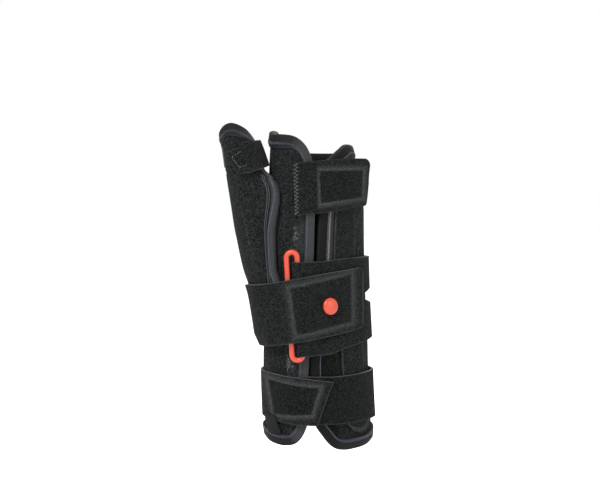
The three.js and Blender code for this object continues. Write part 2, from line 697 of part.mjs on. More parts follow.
function makeRingKeeper() {
  const around = RING_WIRE / 2 + CLEARANCE + KEEPER / 2;
  const foot = ON_WRAP + KEEPER / 2;
  const places = [
    { past: -KEEPER_FOOT, out: foot },
    { past: -2.2 * around, out: foot },
    { past: -1.5 * around, out: mix(foot, RING_MIDLINE, 0.35) },
    ...steps(6, 180, 0).map((degrees) => ({
      past: Math.cos(turn(degrees)) * around,
      out: RING_MIDLINE + Math.sin(turn(degrees)) * around,
    })),
    { past: around, out: mix(foot, RING_MIDLINE, 0.45) },
    { past: 1.25 * around, out: foot },
    { past: KEEPER_FOOT / 2, out: foot },
  ];
  const middle = places.map(({ past, out }) => steps(2, -0.5, 0.5).map((row) => {
    const z = KEEPER_MIDDLE + row * KEEPER_WIDTH;
    const leg = ringLeg(-1, z);
    return onArm(leg.degrees + past / leg.scale, z, out + leg.out - RING_MIDLINE);
  }));
  return ribbon(middle, KEEPER);
}

// Wrist strap: from its tab on the right, over the ring and the gauntlet, and round to the back
const WRIST_STRAP_LENGTH = 180;
const WRIST_TAB_SIDE = 33.8;
const WRIST_STRAP = [
  { at: 0, middle: 0.168, wide: 0.966 },
  { at: 0.19, middle: 0.083, wide: 1.0 },
  { at: 0.29, middle: 0.034, wide: 1.003 },
  { at: 0.48, middle: -0.084, wide: 0.99 },
  { at: 1, middle: -0.19, wide: 0.93 },
];

// Corners of the convex outline of points seen along Z, in the order of the wrist strap
function tautLine(points) {
  const sorted = [...points].sort((a, b) => a.x - b.x || a.y - b.y);
  const half = (list) => list.reduce((kept, point) => {
    const straight = () => {
      const [a, b] = kept.slice(-2);
      return (b.x - a.x) * (point.y - a.y) - (b.y - a.y) * (point.x - a.x) <= 0;
    };
    while (kept.length > 1 && straight()) kept.pop();
    kept.push(point);
    return kept;
  }, []);
  const under = half(sorted);
  const over = half([...sorted].reverse());
  return [...under.slice(0, -1), ...over.slice(0, -1)].reverse();
}

// The strap lies close on the gauntlet, and below it draws in towards the wrap
const GAUNTLET_FOOT = -18.5;
const STRAP_TUCK = 0.3;

// What the wrist strap is pulled over at a height: wrap, ring strap, ring, keeper, gauntlet and its tape
function underWristStrap(z) {
  const extra = CLEARANCE + STRAP / 2;
  const overFold = RING_WIRE / 2 + CLEARANCE + RING_STRAP_WALL + extra;
  const overKeeper = RING_WIRE / 2 + CLEARANCE + KEEPER + extra;
  const right = ringLeg(1, z);
  const left = ringLeg(-1, z);
  const thumb = thumbSection(z);
  const tapeTop = TAPE_EASE + TAPE + extra;
  const tucked = STRAP_TUCK * Math.max(GAUNTLET_FOOT - z, 0);
  const edge = angleAt(thumb.edge * HAND_WIDTH / 2, z, GAUNTLET_FROM, THUMB_EDGE_SIDE);
  const overRingStrap = (degrees) => read(FRONT_SEAT, 'out', degrees) + RING_STRAP_WALL + extra;
  return [
    ...steps(60, 0, FULL).map((degrees) => onArm(degrees, z, WRAP_WALL + extra)),
    ...steps(22, -95, 15).map((degrees) => onArm(degrees, z, overRingStrap(degrees))),
    ...steps(3, 0, 4).map((past) => onArm(right.degrees + past / right.scale, z, right.out + overFold)),
    ...steps(2, -2, 2).map((past) => onArm(left.degrees + past / left.scale, z, left.out + overKeeper)),
    ...steps(60, 0, FULL).map((degrees) => roundThumb(thumb, degrees, 2 * CLEARANCE + extra - tucked)),
    ...steps(2, -6, 1).map((past) => onArm(edge + past, z, GAUNTLET_FROM + GAUNTLET_WALL / 2 + tapeTop)),
    ...steps(8, 75, 155).map((degrees) => roundThumb(thumb, degrees, tapeTop + 2 * CLEARANCE - tucked)),
    ...steps(2, -6, 6).map((past) => onArm(BACK_LANDING + past, z, GAUNTLET_FROM + GAUNTLET_WALL / 2 + tapeTop)),
  ];
}

// A point on the wrist strap's middle surface at a length from its tab
function onWristStrap(length, z) {
  const line = tautLine(underWristStrap(z));
  const count = line.length;
  const front = line.findIndex((point, i) => {
    const next = line[(i + 1) % count];
    return point.x >= WRIST_TAB_SIDE && next.x < WRIST_TAB_SIDE && next.y < point.y + 1 && next.y < 0;
  });
  const first = line[front];
  const second = line[(front + 1) % count];
  let here = first.clone().lerp(second, (first.x - WRIST_TAB_SIDE) / (first.x - second.x));
  let left = length;
  for (let i = 1; i <= count; i += 1) {
    const next = line[(front + i) % count];
    const span = here.distanceTo(next);
    if (span >= left) return here.clone().lerp(next, left / span);
    left -= span;
    here = next;
  }
  return here;
}

const wristColumns = strapColumns(44, WRIST_STRAP_LENGTH, true).map((share) => 1 - share).reverse();

function makeWristStrap() {
  const middle = wristColumns.map((share) => {
    const width = WRIST_STRAP_WIDTH * read(WRIST_STRAP, 'wide', share);
    const cut = cornerCut(share * WRIST_STRAP_LENGTH);
    return strapRows.map((row) => {
      const z = WRIST_STRAP_WIDTH * read(WRIST_STRAP, 'middle', share) + row * (width - 2 * cut);
      return onWristStrap(share * WRIST_STRAP_LENGTH, z);
    });
  });
  return ribbon(middle, STRAP);
}

// Button: a domed disc on the tab of the wrist strap, its flat back on the cloth
const BUTTON_FROM_TAB = 33;
const BUTTON_UP = 2.7;
const BUTTON_PROFILE = [
  { wide: 0, high: 0 },
  { wide: 0.94, high: 0 },
  { wide: 1, high: 0.16 },
  { wide: 1, high: 0.38 },
  { wide: 0.9, high: 0.68 },
  { wide: 0.62, high: 0.92 },
  { wide: 0.3, high: 0.99 },
  { wide: 0, high: 1 },
];

function makeButton() {
  const radius = BUTTON_WIDTH / 2;
  const profile = BUTTON_PROFILE.map(({ wide, high }) => new THREE.Vector2(wide * radius, high * BUTTON_HEIGHT));
  const disc = new THREE.LatheGeometry(profile, 24);
  const beside = (past, over) => onWristStrap(BUTTON_FROM_TAB + past, BUTTON_UP + over);
  const here = beside(0, 0);
  const along = beside(-radius, 0).sub(beside(radius, 0));
  const up = beside(0, radius).sub(beside(0, -radius));
  const outward = new THREE.Vector3().crossVectors(along, up).normalize();
  disc.applyQuaternion(new THREE.Quaternion().setFromUnitVectors(new THREE.Vector3(0, 1, 0), outward));
  const seat = here.addScaledVector(outward, STRAP / 2 + 2 * CLEARANCE);
  disc.translate(seat.x, seat.y, seat.z);
  return fromSolid(toSolid(disc));
}

// Forearm strap: from under its tab once round the forearm, and over its own start with a slanted end
const FOREARM_STRAP_HEIGHT = -64;
const FOREARM_START = -107;
const FOREARM_TAB_TOP = FRONT + FULL + 13;
const FOREARM_TAB_BOTTOM = FRONT + FULL - 4;
const FOREARM_STRAP = [
  { at: -107, out: ON_TAPE, middle: 0.02, wide: 0.96 },
  { at: -88, out: ON_TAPE, middle: 0.0, wide: 0.97 },
  { at: -74, out: ON_POCKET, middle: -0.01, wide: 0.97 },
  { at: -14, out: ON_POCKET, middle: -0.02, wide: 1.0 },
  { at: 10, out: ON_WRAP, middle: -0.03, wide: 1.01 },
  { at: 90, out: ON_WRAP, middle: 0.03, wide: 0.98 },
  { at: 180, out: ON_WRAP, middle: 0.07, wide: 0.95 },
  { at: 212, out: ON_WRAP, middle: 0.06, wide: 0.95 },
  { at: 246, out: ON_TAPE + STRAP + CLEARANCE, middle: 0.01, wide: 0.96 },
  { at: 270, out: ON_TAPE + STRAP + CLEARANCE, middle: -0.04, wide: 0.92 },
  { at: 290, out: ON_POCKET + STRAP + 2 * CLEARANCE, middle: -0.08, wide: 0.87 },
];

function makeForearmStrap() {
  const middle = steps(48, 0, 1).map((share) => strapRows.map((row) => {
    const end = mix(FOREARM_TAB_BOTTOM, FOREARM_TAB_TOP, row + 0.5);
    const degrees = mix(FOREARM_START, end, share);
    const middleHeight = FOREARM_STRAP_HEIGHT + read(FOREARM_STRAP, 'middle', degrees) * FOREARM_STRAP_WIDTH;
    const z = middleHeight + row * read(FOREARM_STRAP, 'wide', degrees) * FOREARM_STRAP_WIDTH;
    return onArm(degrees, z, read(FOREARM_STRAP, 'out', degrees) + STRAP / 2);
  }));
  return ribbon(middle, STRAP);
}

// Stay pocket and the strip beside it, by their distance from the right side of the slit
const POCKET_WIDTH = 21;
const SEAM_TAPE_WIDTH = 4;
const POCKET_SIDE = -65;
const POCKET_ROUND = 0.98;
const POCKET_TOP = 0.7;
const POCKET_FOOT = -0.905;
const SEAM_TAPE_FOOT = 0.22;
const POCKET_EDGES = [
  { at: -1, beyond: 0.62, wide: 1.22 },
  { at: -0.4, beyond: 0.56, wide: 1.12 },
  { at: 0.25, beyond: 0, wide: 1.0 },
  { at: 0.8, beyond: 0, wide: 0.93 },
];

// A point beyond the tape on the right side of the slit
function besideTape(distance, z, out) {
  const tapeEnd = slitRight(z) + (SLIT_TAPE_LEG + CLEARANCE) / perDegree(slitRight(z), z, WRAP_WALL / 2);
  return onArm(tapeEnd + distance / perDegree(POCKET_SIDE, z, ON_WRAP), z, out);
}

function makeSeamTape() {
  return sheet([0, 1], steps(7, height(SEAM_TAPE_FOOT), height(POCKET_TOP)), (column, z, side) => (
    besideTape(CLEARANCE + column * SEAM_TAPE_WIDTH, z, ON_WRAP + side * SEAM_TAPE)));
}

function makeStayPocket() {
  const from = SEAM_TAPE_WIDTH + 2 * CLEARANCE;
  const columns = [0, 0.05, 0.17, 0.34, 0.5, 0.66, 0.83, 0.95, 1];
  return sheet(columns, steps(16, 0, 1), (column, row, side) => {
    const across = 2 * column - 1;
    const round = POCKET_WIDTH / 2 * (1 - Math.sqrt(1 - across * across * POCKET_ROUND));
    const z = mix(height(POCKET_FOOT) + round, height(POCKET_TOP), row);
    const at = heightShare(z);
    const left = from + read(POCKET_EDGES, 'beyond', at) * POCKET_WIDTH;
    return besideTape(left + column * read(POCKET_EDGES, 'wide', at) * POCKET_WIDTH, z, ON_WRAP + side * POCKET);
  });
}

// Loop label: hangs from the edge of the wrap's foot, over the lower edge of the forearm strap
const LABEL_TOP = -75;
const LABEL_FOOT = -88.5;
const LABEL_ANGLE = 212;
const LABEL_WIDTH = 12;
const LABEL_LEAN = 3;

function makeLoopLabel() {
  const over = ON_WRAP + STRAP + CLEARANCE;
  return sheet([-0.5, 0, 0.5], steps(4, LABEL_FOOT, LABEL_TOP), (column, z, side) => {
    const rise = THREE.MathUtils.smoothstep(z, LABEL_FOOT, LABEL_TOP);
    const along = column * LABEL_WIDTH + LABEL_LEAN * (1 - rise);
    const degrees = LABEL_ANGLE + along / perDegree(LABEL_ANGLE, z, over);
    const above = read(FOREARM_STRAP, 'out', degrees) + STRAP + CLEARANCE;
    return onArm(degrees, z, mix(ON_TAPE, Math.max(over, above), rise) + side * LABEL);
  });
}

// Thumb strap: from its sewn end in front, round the side of the hand and behind the thumb
const THUMB_STRAP_FROM = -128;
const THUMB_STRAP_TO = 148;
const THUMB_STRAP_SLACK = 0.7;
const THUMB_STRAP = [
  { at: -128, middle: 0.821, wide: 0.2 },
  { at: -120, middle: 0.806, wide: 0.47 },
  { at: -112, middle: 0.79, wide: 0.78 },
  { at: -105, middle: 0.784, wide: 0.97 },
  { at: -90, middle: 0.791, wide: 1.01 },
  { at: -76, middle: 0.806, wide: 1.2 },
  { at: -50, middle: 0.819, wide: 1.1 },
  { at: 0, middle: 0.832, wide: 1.0 },
  { at: 90, middle: 0.827, wide: 0.93 },
  { at: 148, middle: 0.82, wide: 0.93 },
];

function makeThumbStrap() {
  const out = TAPE_EASE + TAPE + 2 * CLEARANCE + STRAP / 2;
  const middle = steps(26, THUMB_STRAP_FROM, THUMB_STRAP_TO).map((degrees) => strapRows.map((row) => {
    const width = read(THUMB_STRAP, 'wide', degrees) * THUMB_STRAP_WIDTH;
    const z = read(THUMB_STRAP, 'middle', degrees) * THUMB_REACH + row * width;
    const slack = THUMB_STRAP_SLACK * Math.max(Math.cos(turn(degrees)), 0) * (0.5 - row);
    return roundThumb(thumbSection(z), degrees, out + slack);
  }));
  return ribbon(middle, STRAP);
}

const splint = new THREE.Group();

function add(name, geometry, material) {
  const mesh = new THREE.Mesh(geometry, material);
  mesh.name = name;
  splint.add(mesh);
}

const padded = new THREE.MeshStandardMaterial({ color: 0x26292a, roughness: 0.95 });
const tape = new THREE.MeshStandardMaterial({ color: 0x36383a, roughness: 0.75 });
const webbing = new THREE.MeshStandardMaterial({ color: 0x1b1d1e, roughness: 0.95 });
const pale = new THREE.MeshStandardMaterial({ color: 0x787a7a, roughness: 0.8 });
const plainTape = new THREE.MeshStandardMaterial({ color: 0x303030, roughness: 0.8 });
const red = new THREE.MeshStandardMaterial({ color: 0xf54a38, roughness: 0.35 });

add('wrist_wrap', makeWrap(), padded);
add('wrap_binding', makeWrapBinding(), tape);
add('thumb_gauntlet', makeGauntlet(), padded);
add('thumb_binding', makeThumbBinding(), tape);
add('thumb_strap', makeThumbStrap(), webbing);
add('palm_strap', makePalmStrap(), webbing);
add('pull_ring', makePullRing(), red);
add('ring_strap', makeRingStrap(), webbing);
add('ring_keeper', makeRingKeeper(), webbing);
add('wrist_strap', makeWristStrap(), webbing);
add('strap_button', makeButton(), red);
add('forearm_strap', makeForearmStrap(), webbing);
add('stay_pocket', makeStayPocket(), padded);
add('seam_tape', makeSeamTape(), pale);
add('loop_label', makeLoopLabel(), plainTape);

export default splint;
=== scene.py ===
"""Thumb spica splint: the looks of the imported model, in metres, in its own frame."""
import math
import random
from functools import lru_cache

import bmesh
import bpy
import numpy as np
from bpy.props import FloatProperty, FloatVectorProperty, PointerProperty
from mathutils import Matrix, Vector


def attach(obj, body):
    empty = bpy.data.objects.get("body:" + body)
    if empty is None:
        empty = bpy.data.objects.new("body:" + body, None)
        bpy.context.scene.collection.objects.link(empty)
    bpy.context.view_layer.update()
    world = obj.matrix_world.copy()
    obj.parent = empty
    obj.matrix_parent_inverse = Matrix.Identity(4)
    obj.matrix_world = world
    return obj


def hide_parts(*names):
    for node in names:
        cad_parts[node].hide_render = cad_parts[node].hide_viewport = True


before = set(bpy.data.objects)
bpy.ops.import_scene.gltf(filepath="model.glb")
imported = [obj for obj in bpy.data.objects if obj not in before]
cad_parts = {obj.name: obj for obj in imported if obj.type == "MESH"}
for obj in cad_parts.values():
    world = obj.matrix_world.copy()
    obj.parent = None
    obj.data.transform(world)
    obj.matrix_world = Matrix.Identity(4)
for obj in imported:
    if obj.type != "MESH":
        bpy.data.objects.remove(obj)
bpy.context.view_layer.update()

bl_info = {
    "name": "Thumb spica splint",
    "version": (1, 0, 0),
    "blender": (4, 5, 0),
    "location": "View3D > Sidebar > Splint",
    "description": "Builds the cloth, tapes, straps and red fittings of a thumb spica splint",
    "category": "Add Mesh",
}

MM = 0.001

# Driving sizes of the part, in millimetres
PALM_REACH, FOREARM_REACH = 126, 100
FOREARM_WIDTH, FOREARM_DEPTH = 73, 62
HAND_WIDTH, HAND_DEPTH = 65, 46
THUMB_WIDTH, THUMB_DEPTH, THUMB_REACH, THUMB_LEAN, THUMB_FOOT = 36.8, 41, 134, 31, -27
CLEARANCE, TAPE_EASE = 0.3, 0.65
WRAP_WALL, GAUNTLET_WALL = 3.0, 2.4
TAPE, TAPE_LEG, SLIT_TAPE_LEG, THUMB_TAPE_LEG = 1.0, 6.6, 5.4, 2.6
STRAP, RING_STRAP_WALL, KEEPER, POCKET = 1.6, 1.4, 0.8, 2.0
PALM_STRAP_WIDTH, RING_STRAP_WIDTH, WRIST_STRAP_WIDTH = 36, 68, 45
FOREARM_STRAP_WIDTH, THUMB_STRAP_WIDTH, TAB_CORNER = 35, 18, 5
ON_WRAP = WRAP_WALL + CLEARANCE
ON_TAPE = ON_WRAP + TAPE + CLEARANCE
ON_POCKET = ON_WRAP + POCKET + CLEARANCE
RING_LENGTH, RING_WIDTH, RING_WIRE, RING_MIDDLE, RING_SIDE, RING_LEAN = 79.8, 11.3, 3.8, 3.4, 15.6, 4.8
RING_MIDLINE = ON_TAPE + RING_STRAP_WALL + CLEARANCE + RING_WIRE / 2
GAUNTLET_FROM = ON_WRAP + TAPE + TAPE_EASE + GAUNTLET_WALL / 2
FRONT, FULL = -90, 360
LEFT_OF_SLIT, THUMB_EDGE_SIDE = FRONT - 20, FRONT - 35

# Camera: place and aim in millimetres, and the lens that gives the photograph's scale
CAMERA = (-11.8, -750.0, 78.0)
AIM = (-11.8, 0.0, 48.5)
LENS = 61.0

# Lights, in metres and watts
LIT = (-0.012, 0.0, 0.02)
LIGHTS = [
    ("key", (-0.45, -0.8, 0.9), 0.4, 17),
    ("fill", (0.9, -0.7, 0.35), 0.6, 3.5),
    ("rim", (0.3, 0.9, 0.7), 0.5, 8),
]


class Table:
    """Rows with a first column of places, read smoothly by column name."""

    def __init__(self, names, rows):
        self.at = np.array([row[0] for row in rows], float)
        self.dense = np.linspace(self.at[0], self.at[-1], 1601)
        self.columns = {}
        for k, name in enumerate(names.split()[1:], 1):
            self.columns[name] = self._curve(np.array([row[k] for row in rows], float))

    def _curve(self, values):
        rise = np.diff(values) / np.diff(self.at)
        slope = np.empty(len(values))
        slope[0], slope[-1] = rise[0], rise[-1]
        for i in range(1, len(values) - 1):
            before, after = rise[i - 1], rise[i]
            slope[i] = 0 if before * after <= 0 else 2 * before * after / (before + after)
        i = np.clip(np.searchsorted(self.at, self.dense, side="right") - 1, 0, len(values) - 2)
        span = self.at[i + 1] - self.at[i]
        t = (self.dense - self.at[i]) / span
        hill = t * t * (3 - 2 * t)
        bend = t * (1 - t) ** 2 * span * slope[i] - t * t * (1 - t) * span * slope[i + 1]
        return values[i] * (1 - hill) + values[i + 1] * hill + bend

    def read(self, name, at):
        return np.interp(at, self.dense, self.columns[name])


ARM = Table("at hand wide deep turn shift", [
    (-1.0, 0, 1.0, 1.0, 0.29, 0.035),
    (-0.36, 0, 0.985, 0.97, 0.33, 0.004),
    (0.135, 0.5, 0.97, 0.93, 0.5, 0.008),
    (0.55, 1, 1.0, 1.0, 0.61, 0.01),
    (0.83, 1, 0.88, 0.93, 0.55, -0.037),
    (1.05, 1, 0.77, 0.86, 0.5, -0.07),
])
RIMS = Table("at top bottom", [
    (-96, 0.815, -0.825), (-90, 0.827, -0.885), (-82, 0.85, -0.955), (-74, 0.874, -0.992),
    (-62, 0.903, -1.005), (-40, 0.935, -1.005), (-15, 0.93, -0.985), (45, 0.89, -0.95),
    (95, 0.89, -0.94), (140, 0.97, -0.93), (168, 1.01, -0.915), (200, 0.985, -0.92),
    (225, 0.981, -0.95), (242, 0.974, -0.958), (254, 0.952, -0.948), (262, 0.92, -0.912),
    (267, 0.88, -0.86), (270, 0.85, -0.81),
])
SLIT = Table("at left right", [
    (-0.9, -15.5, -2.5), (-0.4, -11.5, -6), (0.0, -9, -1.5), (0.5, -7, 2.2), (0.9, -4.5, 12),
])
THUMB = Table("at out fore wide deep free edge", [
    (-0.3, -0.06, 0.27, 0.8, 0.84, 0, -0.9),
    (0.06, 0.085, 0.3, 0.95, 0.98, 0, -0.84),
    (0.13, 0.15, 0.3, 0.98, 1.0, 0, -0.8),
    (0.21, 0.26, 0.31, 0.99, 1.0, 0, -0.9),
    (0.4, 0.43, 0.33, 1.0, 0.97, 0, -0.94),
    (0.57, 0.575, 0.36, 0.95, 0.87, 0.14, -0.82),
    (0.65, 0.655, 0.4, 0.9, 0.8, 0.42, -0.72),
    (0.7, 0.72, 0.44, 0.84, 0.75, 0.75, -0.65),
    (0.745, 0.78, 0.47, 0.78, 0.71, 1, -0.6),
    (0.85, 0.88, 0.47, 0.7, 0.62, 1, -1.0),
    (0.95, 0.985, 0.45, 0.65, 0.57, 1, -1.0),
    (1.0, 1.0, 0.44, 0.63, 0.55, 1, -1.0),
])
GAUNTLET_RIMS = Table("at top bottom", [
    (0.0, 0.905, 0.1), (0.1, 0.953, 0.08), (0.22, 0.982, 0.035), (0.36, 0.968, -0.04),
    (0.5, 0.935, -0.13), (0.7, 0.92, -0.13), (1.0, 0.9, -0.06),
])
FRONT_SEAT = Table("at out", [
    (-90, ON_TAPE), (-76, ON_POCKET), (-14, ON_POCKET), (8, ON_WRAP), (90, ON_WRAP),
])
PALM_STRAP = Table("at middle wide lift", [
    (0, 0.68, 1.04, 0), (0.35, 0.695, 1.03, 0), (0.7, 0.715, 0.99, 0.35), (1, 0.725, 0.95, 1),
])
RING_STRAP = Table("at top bottom", [
    (0, 0.506, -0.466), (0.17, 0.53, -0.4), (0.5, 0.535, -0.34), (1, 0.515, -0.29),
])
WRIST_STRAP = Table("at middle wide", [
    (0, 0.168, 0.966), (0.19, 0.083, 1.0), (0.29, 0.034, 1.003), (0.48, -0.084, 0.99), (1, -0.19, 0.93),
])
FOREARM_STRAP = Table("at out middle wide", [
    (-107, ON_TAPE, 0.02, 0.96), (-88, ON_TAPE, 0.0, 0.97), (-74, ON_POCKET, -0.01, 0.97),
    (-14, ON_POCKET, -0.02, 1.0), (10, ON_WRAP, -0.03, 1.01), (90, ON_WRAP, 0.03, 0.98),
    (180, ON_WRAP, 0.07, 0.95), (212, ON_WRAP, 0.06, 0.95),
    (246, ON_TAPE + STRAP + CLEARANCE, 0.01, 0.96), (270, ON_TAPE + STRAP + CLEARANCE, -0.04, 0.92),
    (290, ON_POCKET + STRAP + 2 * CLEARANCE, -0.08, 0.87),
])
POCKET_EDGES = Table("at beyond wide", [
    (-1, 0.62, 1.22), (-0.4, 0.56, 1.12), (0.25, 0, 1.0), (0.8, 0, 0.93),
])
THUMB_STRAP = Table("at middle wide", [
    (-128, 0.821, 0.2), (-120, 0.806, 0.47), (-112, 0.79, 0.78), (-105, 0.784, 0.97),
    (-90, 0.791, 1.01), (-76, 0.806, 1.2), (-50, 0.819, 1.1),
    (0, 0.832, 1.0), (90, 0.827, 0.93), (148, 0.82, 0.93),
])


def mix(a, b, t):
    return a + (b - a) * t


def smooth(at, low, high):
    t = np.clip((at - low) / (high - low), 0, 1)
    return t * t * (3 - 2 * t)


def height(share):
    share = np.asarray(share, float)
    return share * np.where(share > 0, PALM_REACH, FOREARM_REACH)


def height_share(z):
    z = np.asarray(z, float)
    return z / np.where(z > 0, PALM_REACH, FOREARM_REACH)


def unit(v):
    return v / np.maximum(np.linalg.norm(v, axis=-1, keepdims=True), 1e-12)


def bell(at, middle, width):
    """1 at the middle, falling to 0 on both sides."""
    return np.exp(-((at - middle) / width) ** 2)


def run_along(points):
    """Distances along a line of points, from 0 at its first."""
    return np.r_[0, np.cumsum(np.linalg.norm(np.diff(points, axis=0), axis=1))]


def points_at(places, run, points):
    """Points at places along a line whose own distances are run."""
    return np.stack([np.interp(places, run, column) for column in np.transpose(points)], -1)


def grid_runs(points, axis):
    """Distances along the lines of a grid of points, in one of its two directions."""
    steps = np.linalg.norm(np.diff(points, axis=axis), axis=-1)
    return np.insert(np.cumsum(steps, axis=axis), 0, 0, axis=axis)


def relax(values, rounds, axis=0):
    """Evens out values along an axis, and keeps the first and the last."""
    values = np.moveaxis(values, axis, 0)
    for _ in range(rounds):
        values[1:-1] = (values[:-2] + 2 * values[1:-1] + values[2:]) / 4
    return np.moveaxis(values, 0, axis)


def relax_ring(values, rounds):
    """Evens out values round a closed line."""
    for _ in range(rounds):
        values = (np.roll(values, 1, axis=0) + 2 * values + np.roll(values, -1, axis=0)) / 4
    return values


def index_in(even, at):
    """Fractional index of places in an even run of values."""
    return (np.asarray(at, float) - even[0]) / (even[1] - even[0])


def read_grid(grid, v, u):
    """A grid's values between its rows and columns, at fractional indices."""
    v, u = np.clip(v, 0, len(grid) - 1.001), np.clip(u, 0, len(grid[0]) - 1.001)
    i, j = v.astype(int), u.astype(int)
    a, b = (v - i)[..., None], (u - j)[..., None]
    return mix(mix(grid[i, j], grid[i, j + 1], b), mix(grid[i + 1, j], grid[i + 1, j + 1], b), a)


def on_arm(degrees, z, out):
    """Points at a distance outside the hollow, by angle and height."""
    degrees, z, out = np.broadcast_arrays(*(np.asarray(v, float) for v in (degrees, z, out)))
    at = height_share(z)
    hand = ARM.read("hand", at)
    width = mix(FOREARM_WIDTH, HAND_WIDTH, hand)
    deep = ARM.read("deep", at) * mix(FOREARM_DEPTH, HAND_DEPTH, hand) / 2
    wide = ARM.read("wide", at) * width / 2
    turn = ARM.read("turn", at) * deep
    c, s = np.cos(np.radians(degrees)), np.sin(np.radians(degrees))
    ax, ay = -wide * s, deep * c - turn * s
    size = np.hypot(ax, ay)
    x = ARM.read("shift", at) * width + wide * c + ay / size * out
    y = deep * s + turn * c - ax / size * out
    return np.stack([x, y, z], -1)


def per_degree(degrees, z, out):
    return np.linalg.norm(on_arm(degrees + 0.5, z, out) - on_arm(degrees - 0.5, z, out), axis=-1)


def locate(points):
    """Angle and distance outside the hollow of points."""
    points = np.asarray(points, float)
    z = points[..., 2]
    middle = (on_arm(0, z, 0) + on_arm(180, z, 0)) / 2
    side = on_arm(0, z, 0) - middle
    back = on_arm(90, z, 0) - middle
    gap = points - middle
    det = side[..., 0] * back[..., 1] - side[..., 1] * back[..., 0]
    c = (gap[..., 0] * back[..., 1] - gap[..., 1] * back[..., 0]) / det
    s = (side[..., 0] * gap[..., 1] - side[..., 1] * gap[..., 0]) / det
    degrees = np.degrees(np.arctan2(s, c))
    for _ in range(12):
        along = on_arm(degrees + 0.5, z, 0) - on_arm(degrees - 0.5, z, 0)
        missing = points - on_arm(degrees, z, 0)
        degrees = degrees + (missing * along).sum(-1) / (along * along).sum(-1) * 0.7
    foot = on_arm(degrees, z, 0)
    return degrees, ((points - foot) * (on_arm(degrees, z, 1) - foot)).sum(-1)


def angle_at(x, z, out, guess):
    degrees = np.full(np.shape(z), float(guess))
    for _ in range(12):
        slope = on_arm(degrees + 0.5, z, out)[..., 0] - on_arm(degrees - 0.5, z, out)[..., 0]
        degrees = degrees + (x - on_arm(degrees, z, out)[..., 0]) / slope
    return degrees


def slit_right(z):
    return FRONT + SLIT.read("right", height_share(z))


def slit_left(z):
    return FRONT + FULL + SLIT.read("left", height_share(z))


def wrap_place(around, up):
    rim = mix(RIMS.at[0], RIMS.at[-1], around)
    z = mix(height(RIMS.read("bottom", rim)), height(RIMS.read("top", rim)), up)
    return mix(slit_right(z), slit_left(z), around), z


# Thumb gauntlet
THUMB_ROUND = [-98, -120, -142, -164, -186, -208, -230]
FREE_FRONT, FREE_BACK, FREE_TURN = -20, 40 - FULL, 36
BACK_LANDING, SEAT_TURN, SEAT_RISE = 150, 8, 1.5


def thumb_section(z):
    at = np.asarray(z, float) / THUMB_REACH
    read = THUMB.read
    centre = np.stack([
        THUMB_FOOT - read("out", at) * THUMB_LEAN, -read("fore", at) * THUMB_DEPTH, np.asarray(z, float),
    ], -1)
    wide, deep = read("wide", at) * THUMB_WIDTH / 2, read("deep", at) * THUMB_DEPTH / 2
    return centre, wide, deep, read("free", at), read("edge", at)


def round_thumb(z, degrees, out):
    centre, wide, deep, _, _ = thumb_section(z)
    angle = np.radians(degrees)
    zero = np.zeros(np.broadcast(wide, angle, out).shape)
    return centre + np.stack([np.cos(angle) * (wide + out) + zero, np.sin(angle) * (deep + out) + zero, zero], -1)


def centripetal(points, share):
    """Centripetal Catmull-Rom curve through points, at shares from 0 to 1."""
    points = [np.asarray(p, float) for p in points]
    at = share * (len(points) - 1)
    i = min(int(at), len(points) - 2)
    w = at - i
    p1, p2 = points[i], points[i + 1]
    p0 = points[i - 1] if i > 0 else 2 * points[0] - points[1]
    p3 = points[i + 2] if i + 2 < len(points) else 2 * points[-1] - points[-2]
    d0, d1, d2 = (max(np.sum((b - a) ** 2) ** 0.25, 1e-4) for a, b in ((p0, p1), (p1, p2), (p2, p3)))
    t1 = ((p1 - p0) / d0 - (p2 - p0) / (d0 + d1) + (p2 - p1) / d1) * d1
    t2 = ((p2 - p1) / d1 - (p3 - p1) / (d1 + d2) + (p3 - p2) / d2) * d1
    c2 = -3 * p1 + 3 * p2 - 2 * t1 - t2
    c3 = 2 * p1 - 2 * p2 + t1 + t2
    return p1 + t1 * w + c2 * w * w + c3 * w ** 3


def stretched_curve(points, share):
    """The curve through points, running on straight at both of its ends."""
    inside, step = min(max(share, 0), 1), 0.025
    point = centripetal(points, inside)
    if inside == share:
        return point
    before = centripetal(points, step if inside == 0 else 1 - step)
    return mix(point, before, -abs(share - inside) / step)


GRID_Z = np.linspace(-22, THUMB_REACH + 2, 105)
GRID_U = np.linspace(-0.25, 1.25, 301)


@lru_cache(maxsize=None)
def gauntlet_grid():
    """The gauntlet's middle surface on a fixed grid of heights and shares round it."""
    rows = []
    half = -GAUNTLET_WALL / 2
    for z in GRID_Z:
        _, _, _, free, edge = thumb_section(z)
        landing = float(angle_at(edge * HAND_WIDTH / 2, np.array(z), GAUNTLET_FROM, THUMB_EDGE_SIDE))

        def seated(degrees, around, rise):
            return mix(on_arm(degrees, z, GAUNTLET_FROM + rise), round_thumb(z, around, half), free)

        line = [seated(landing, FREE_FRONT, 0), seated(landing - SEAT_TURN, FREE_FRONT - FREE_TURN, SEAT_RISE)]
        line += [round_thumb(z, degrees, half) for degrees in THUMB_ROUND]
        line += [seated(BACK_LANDING + SEAT_TURN, FREE_BACK + FREE_TURN, SEAT_RISE),
                 seated(BACK_LANDING, FREE_BACK, 0)]
        rows.append([stretched_curve(line, share) for share in GRID_U])
    points = np.array(rows)
    degrees, out = locate(points)
    low = out < GAUNTLET_FROM
    points[low] = on_arm(degrees[low], points[low][:, 2], GAUNTLET_FROM)
    return points


def gauntlet_middle(around, z):
    point = read_grid(gauntlet_grid(), index_in(GRID_Z, z), index_in(GRID_U, around))
    point[..., 2] = z
    return point


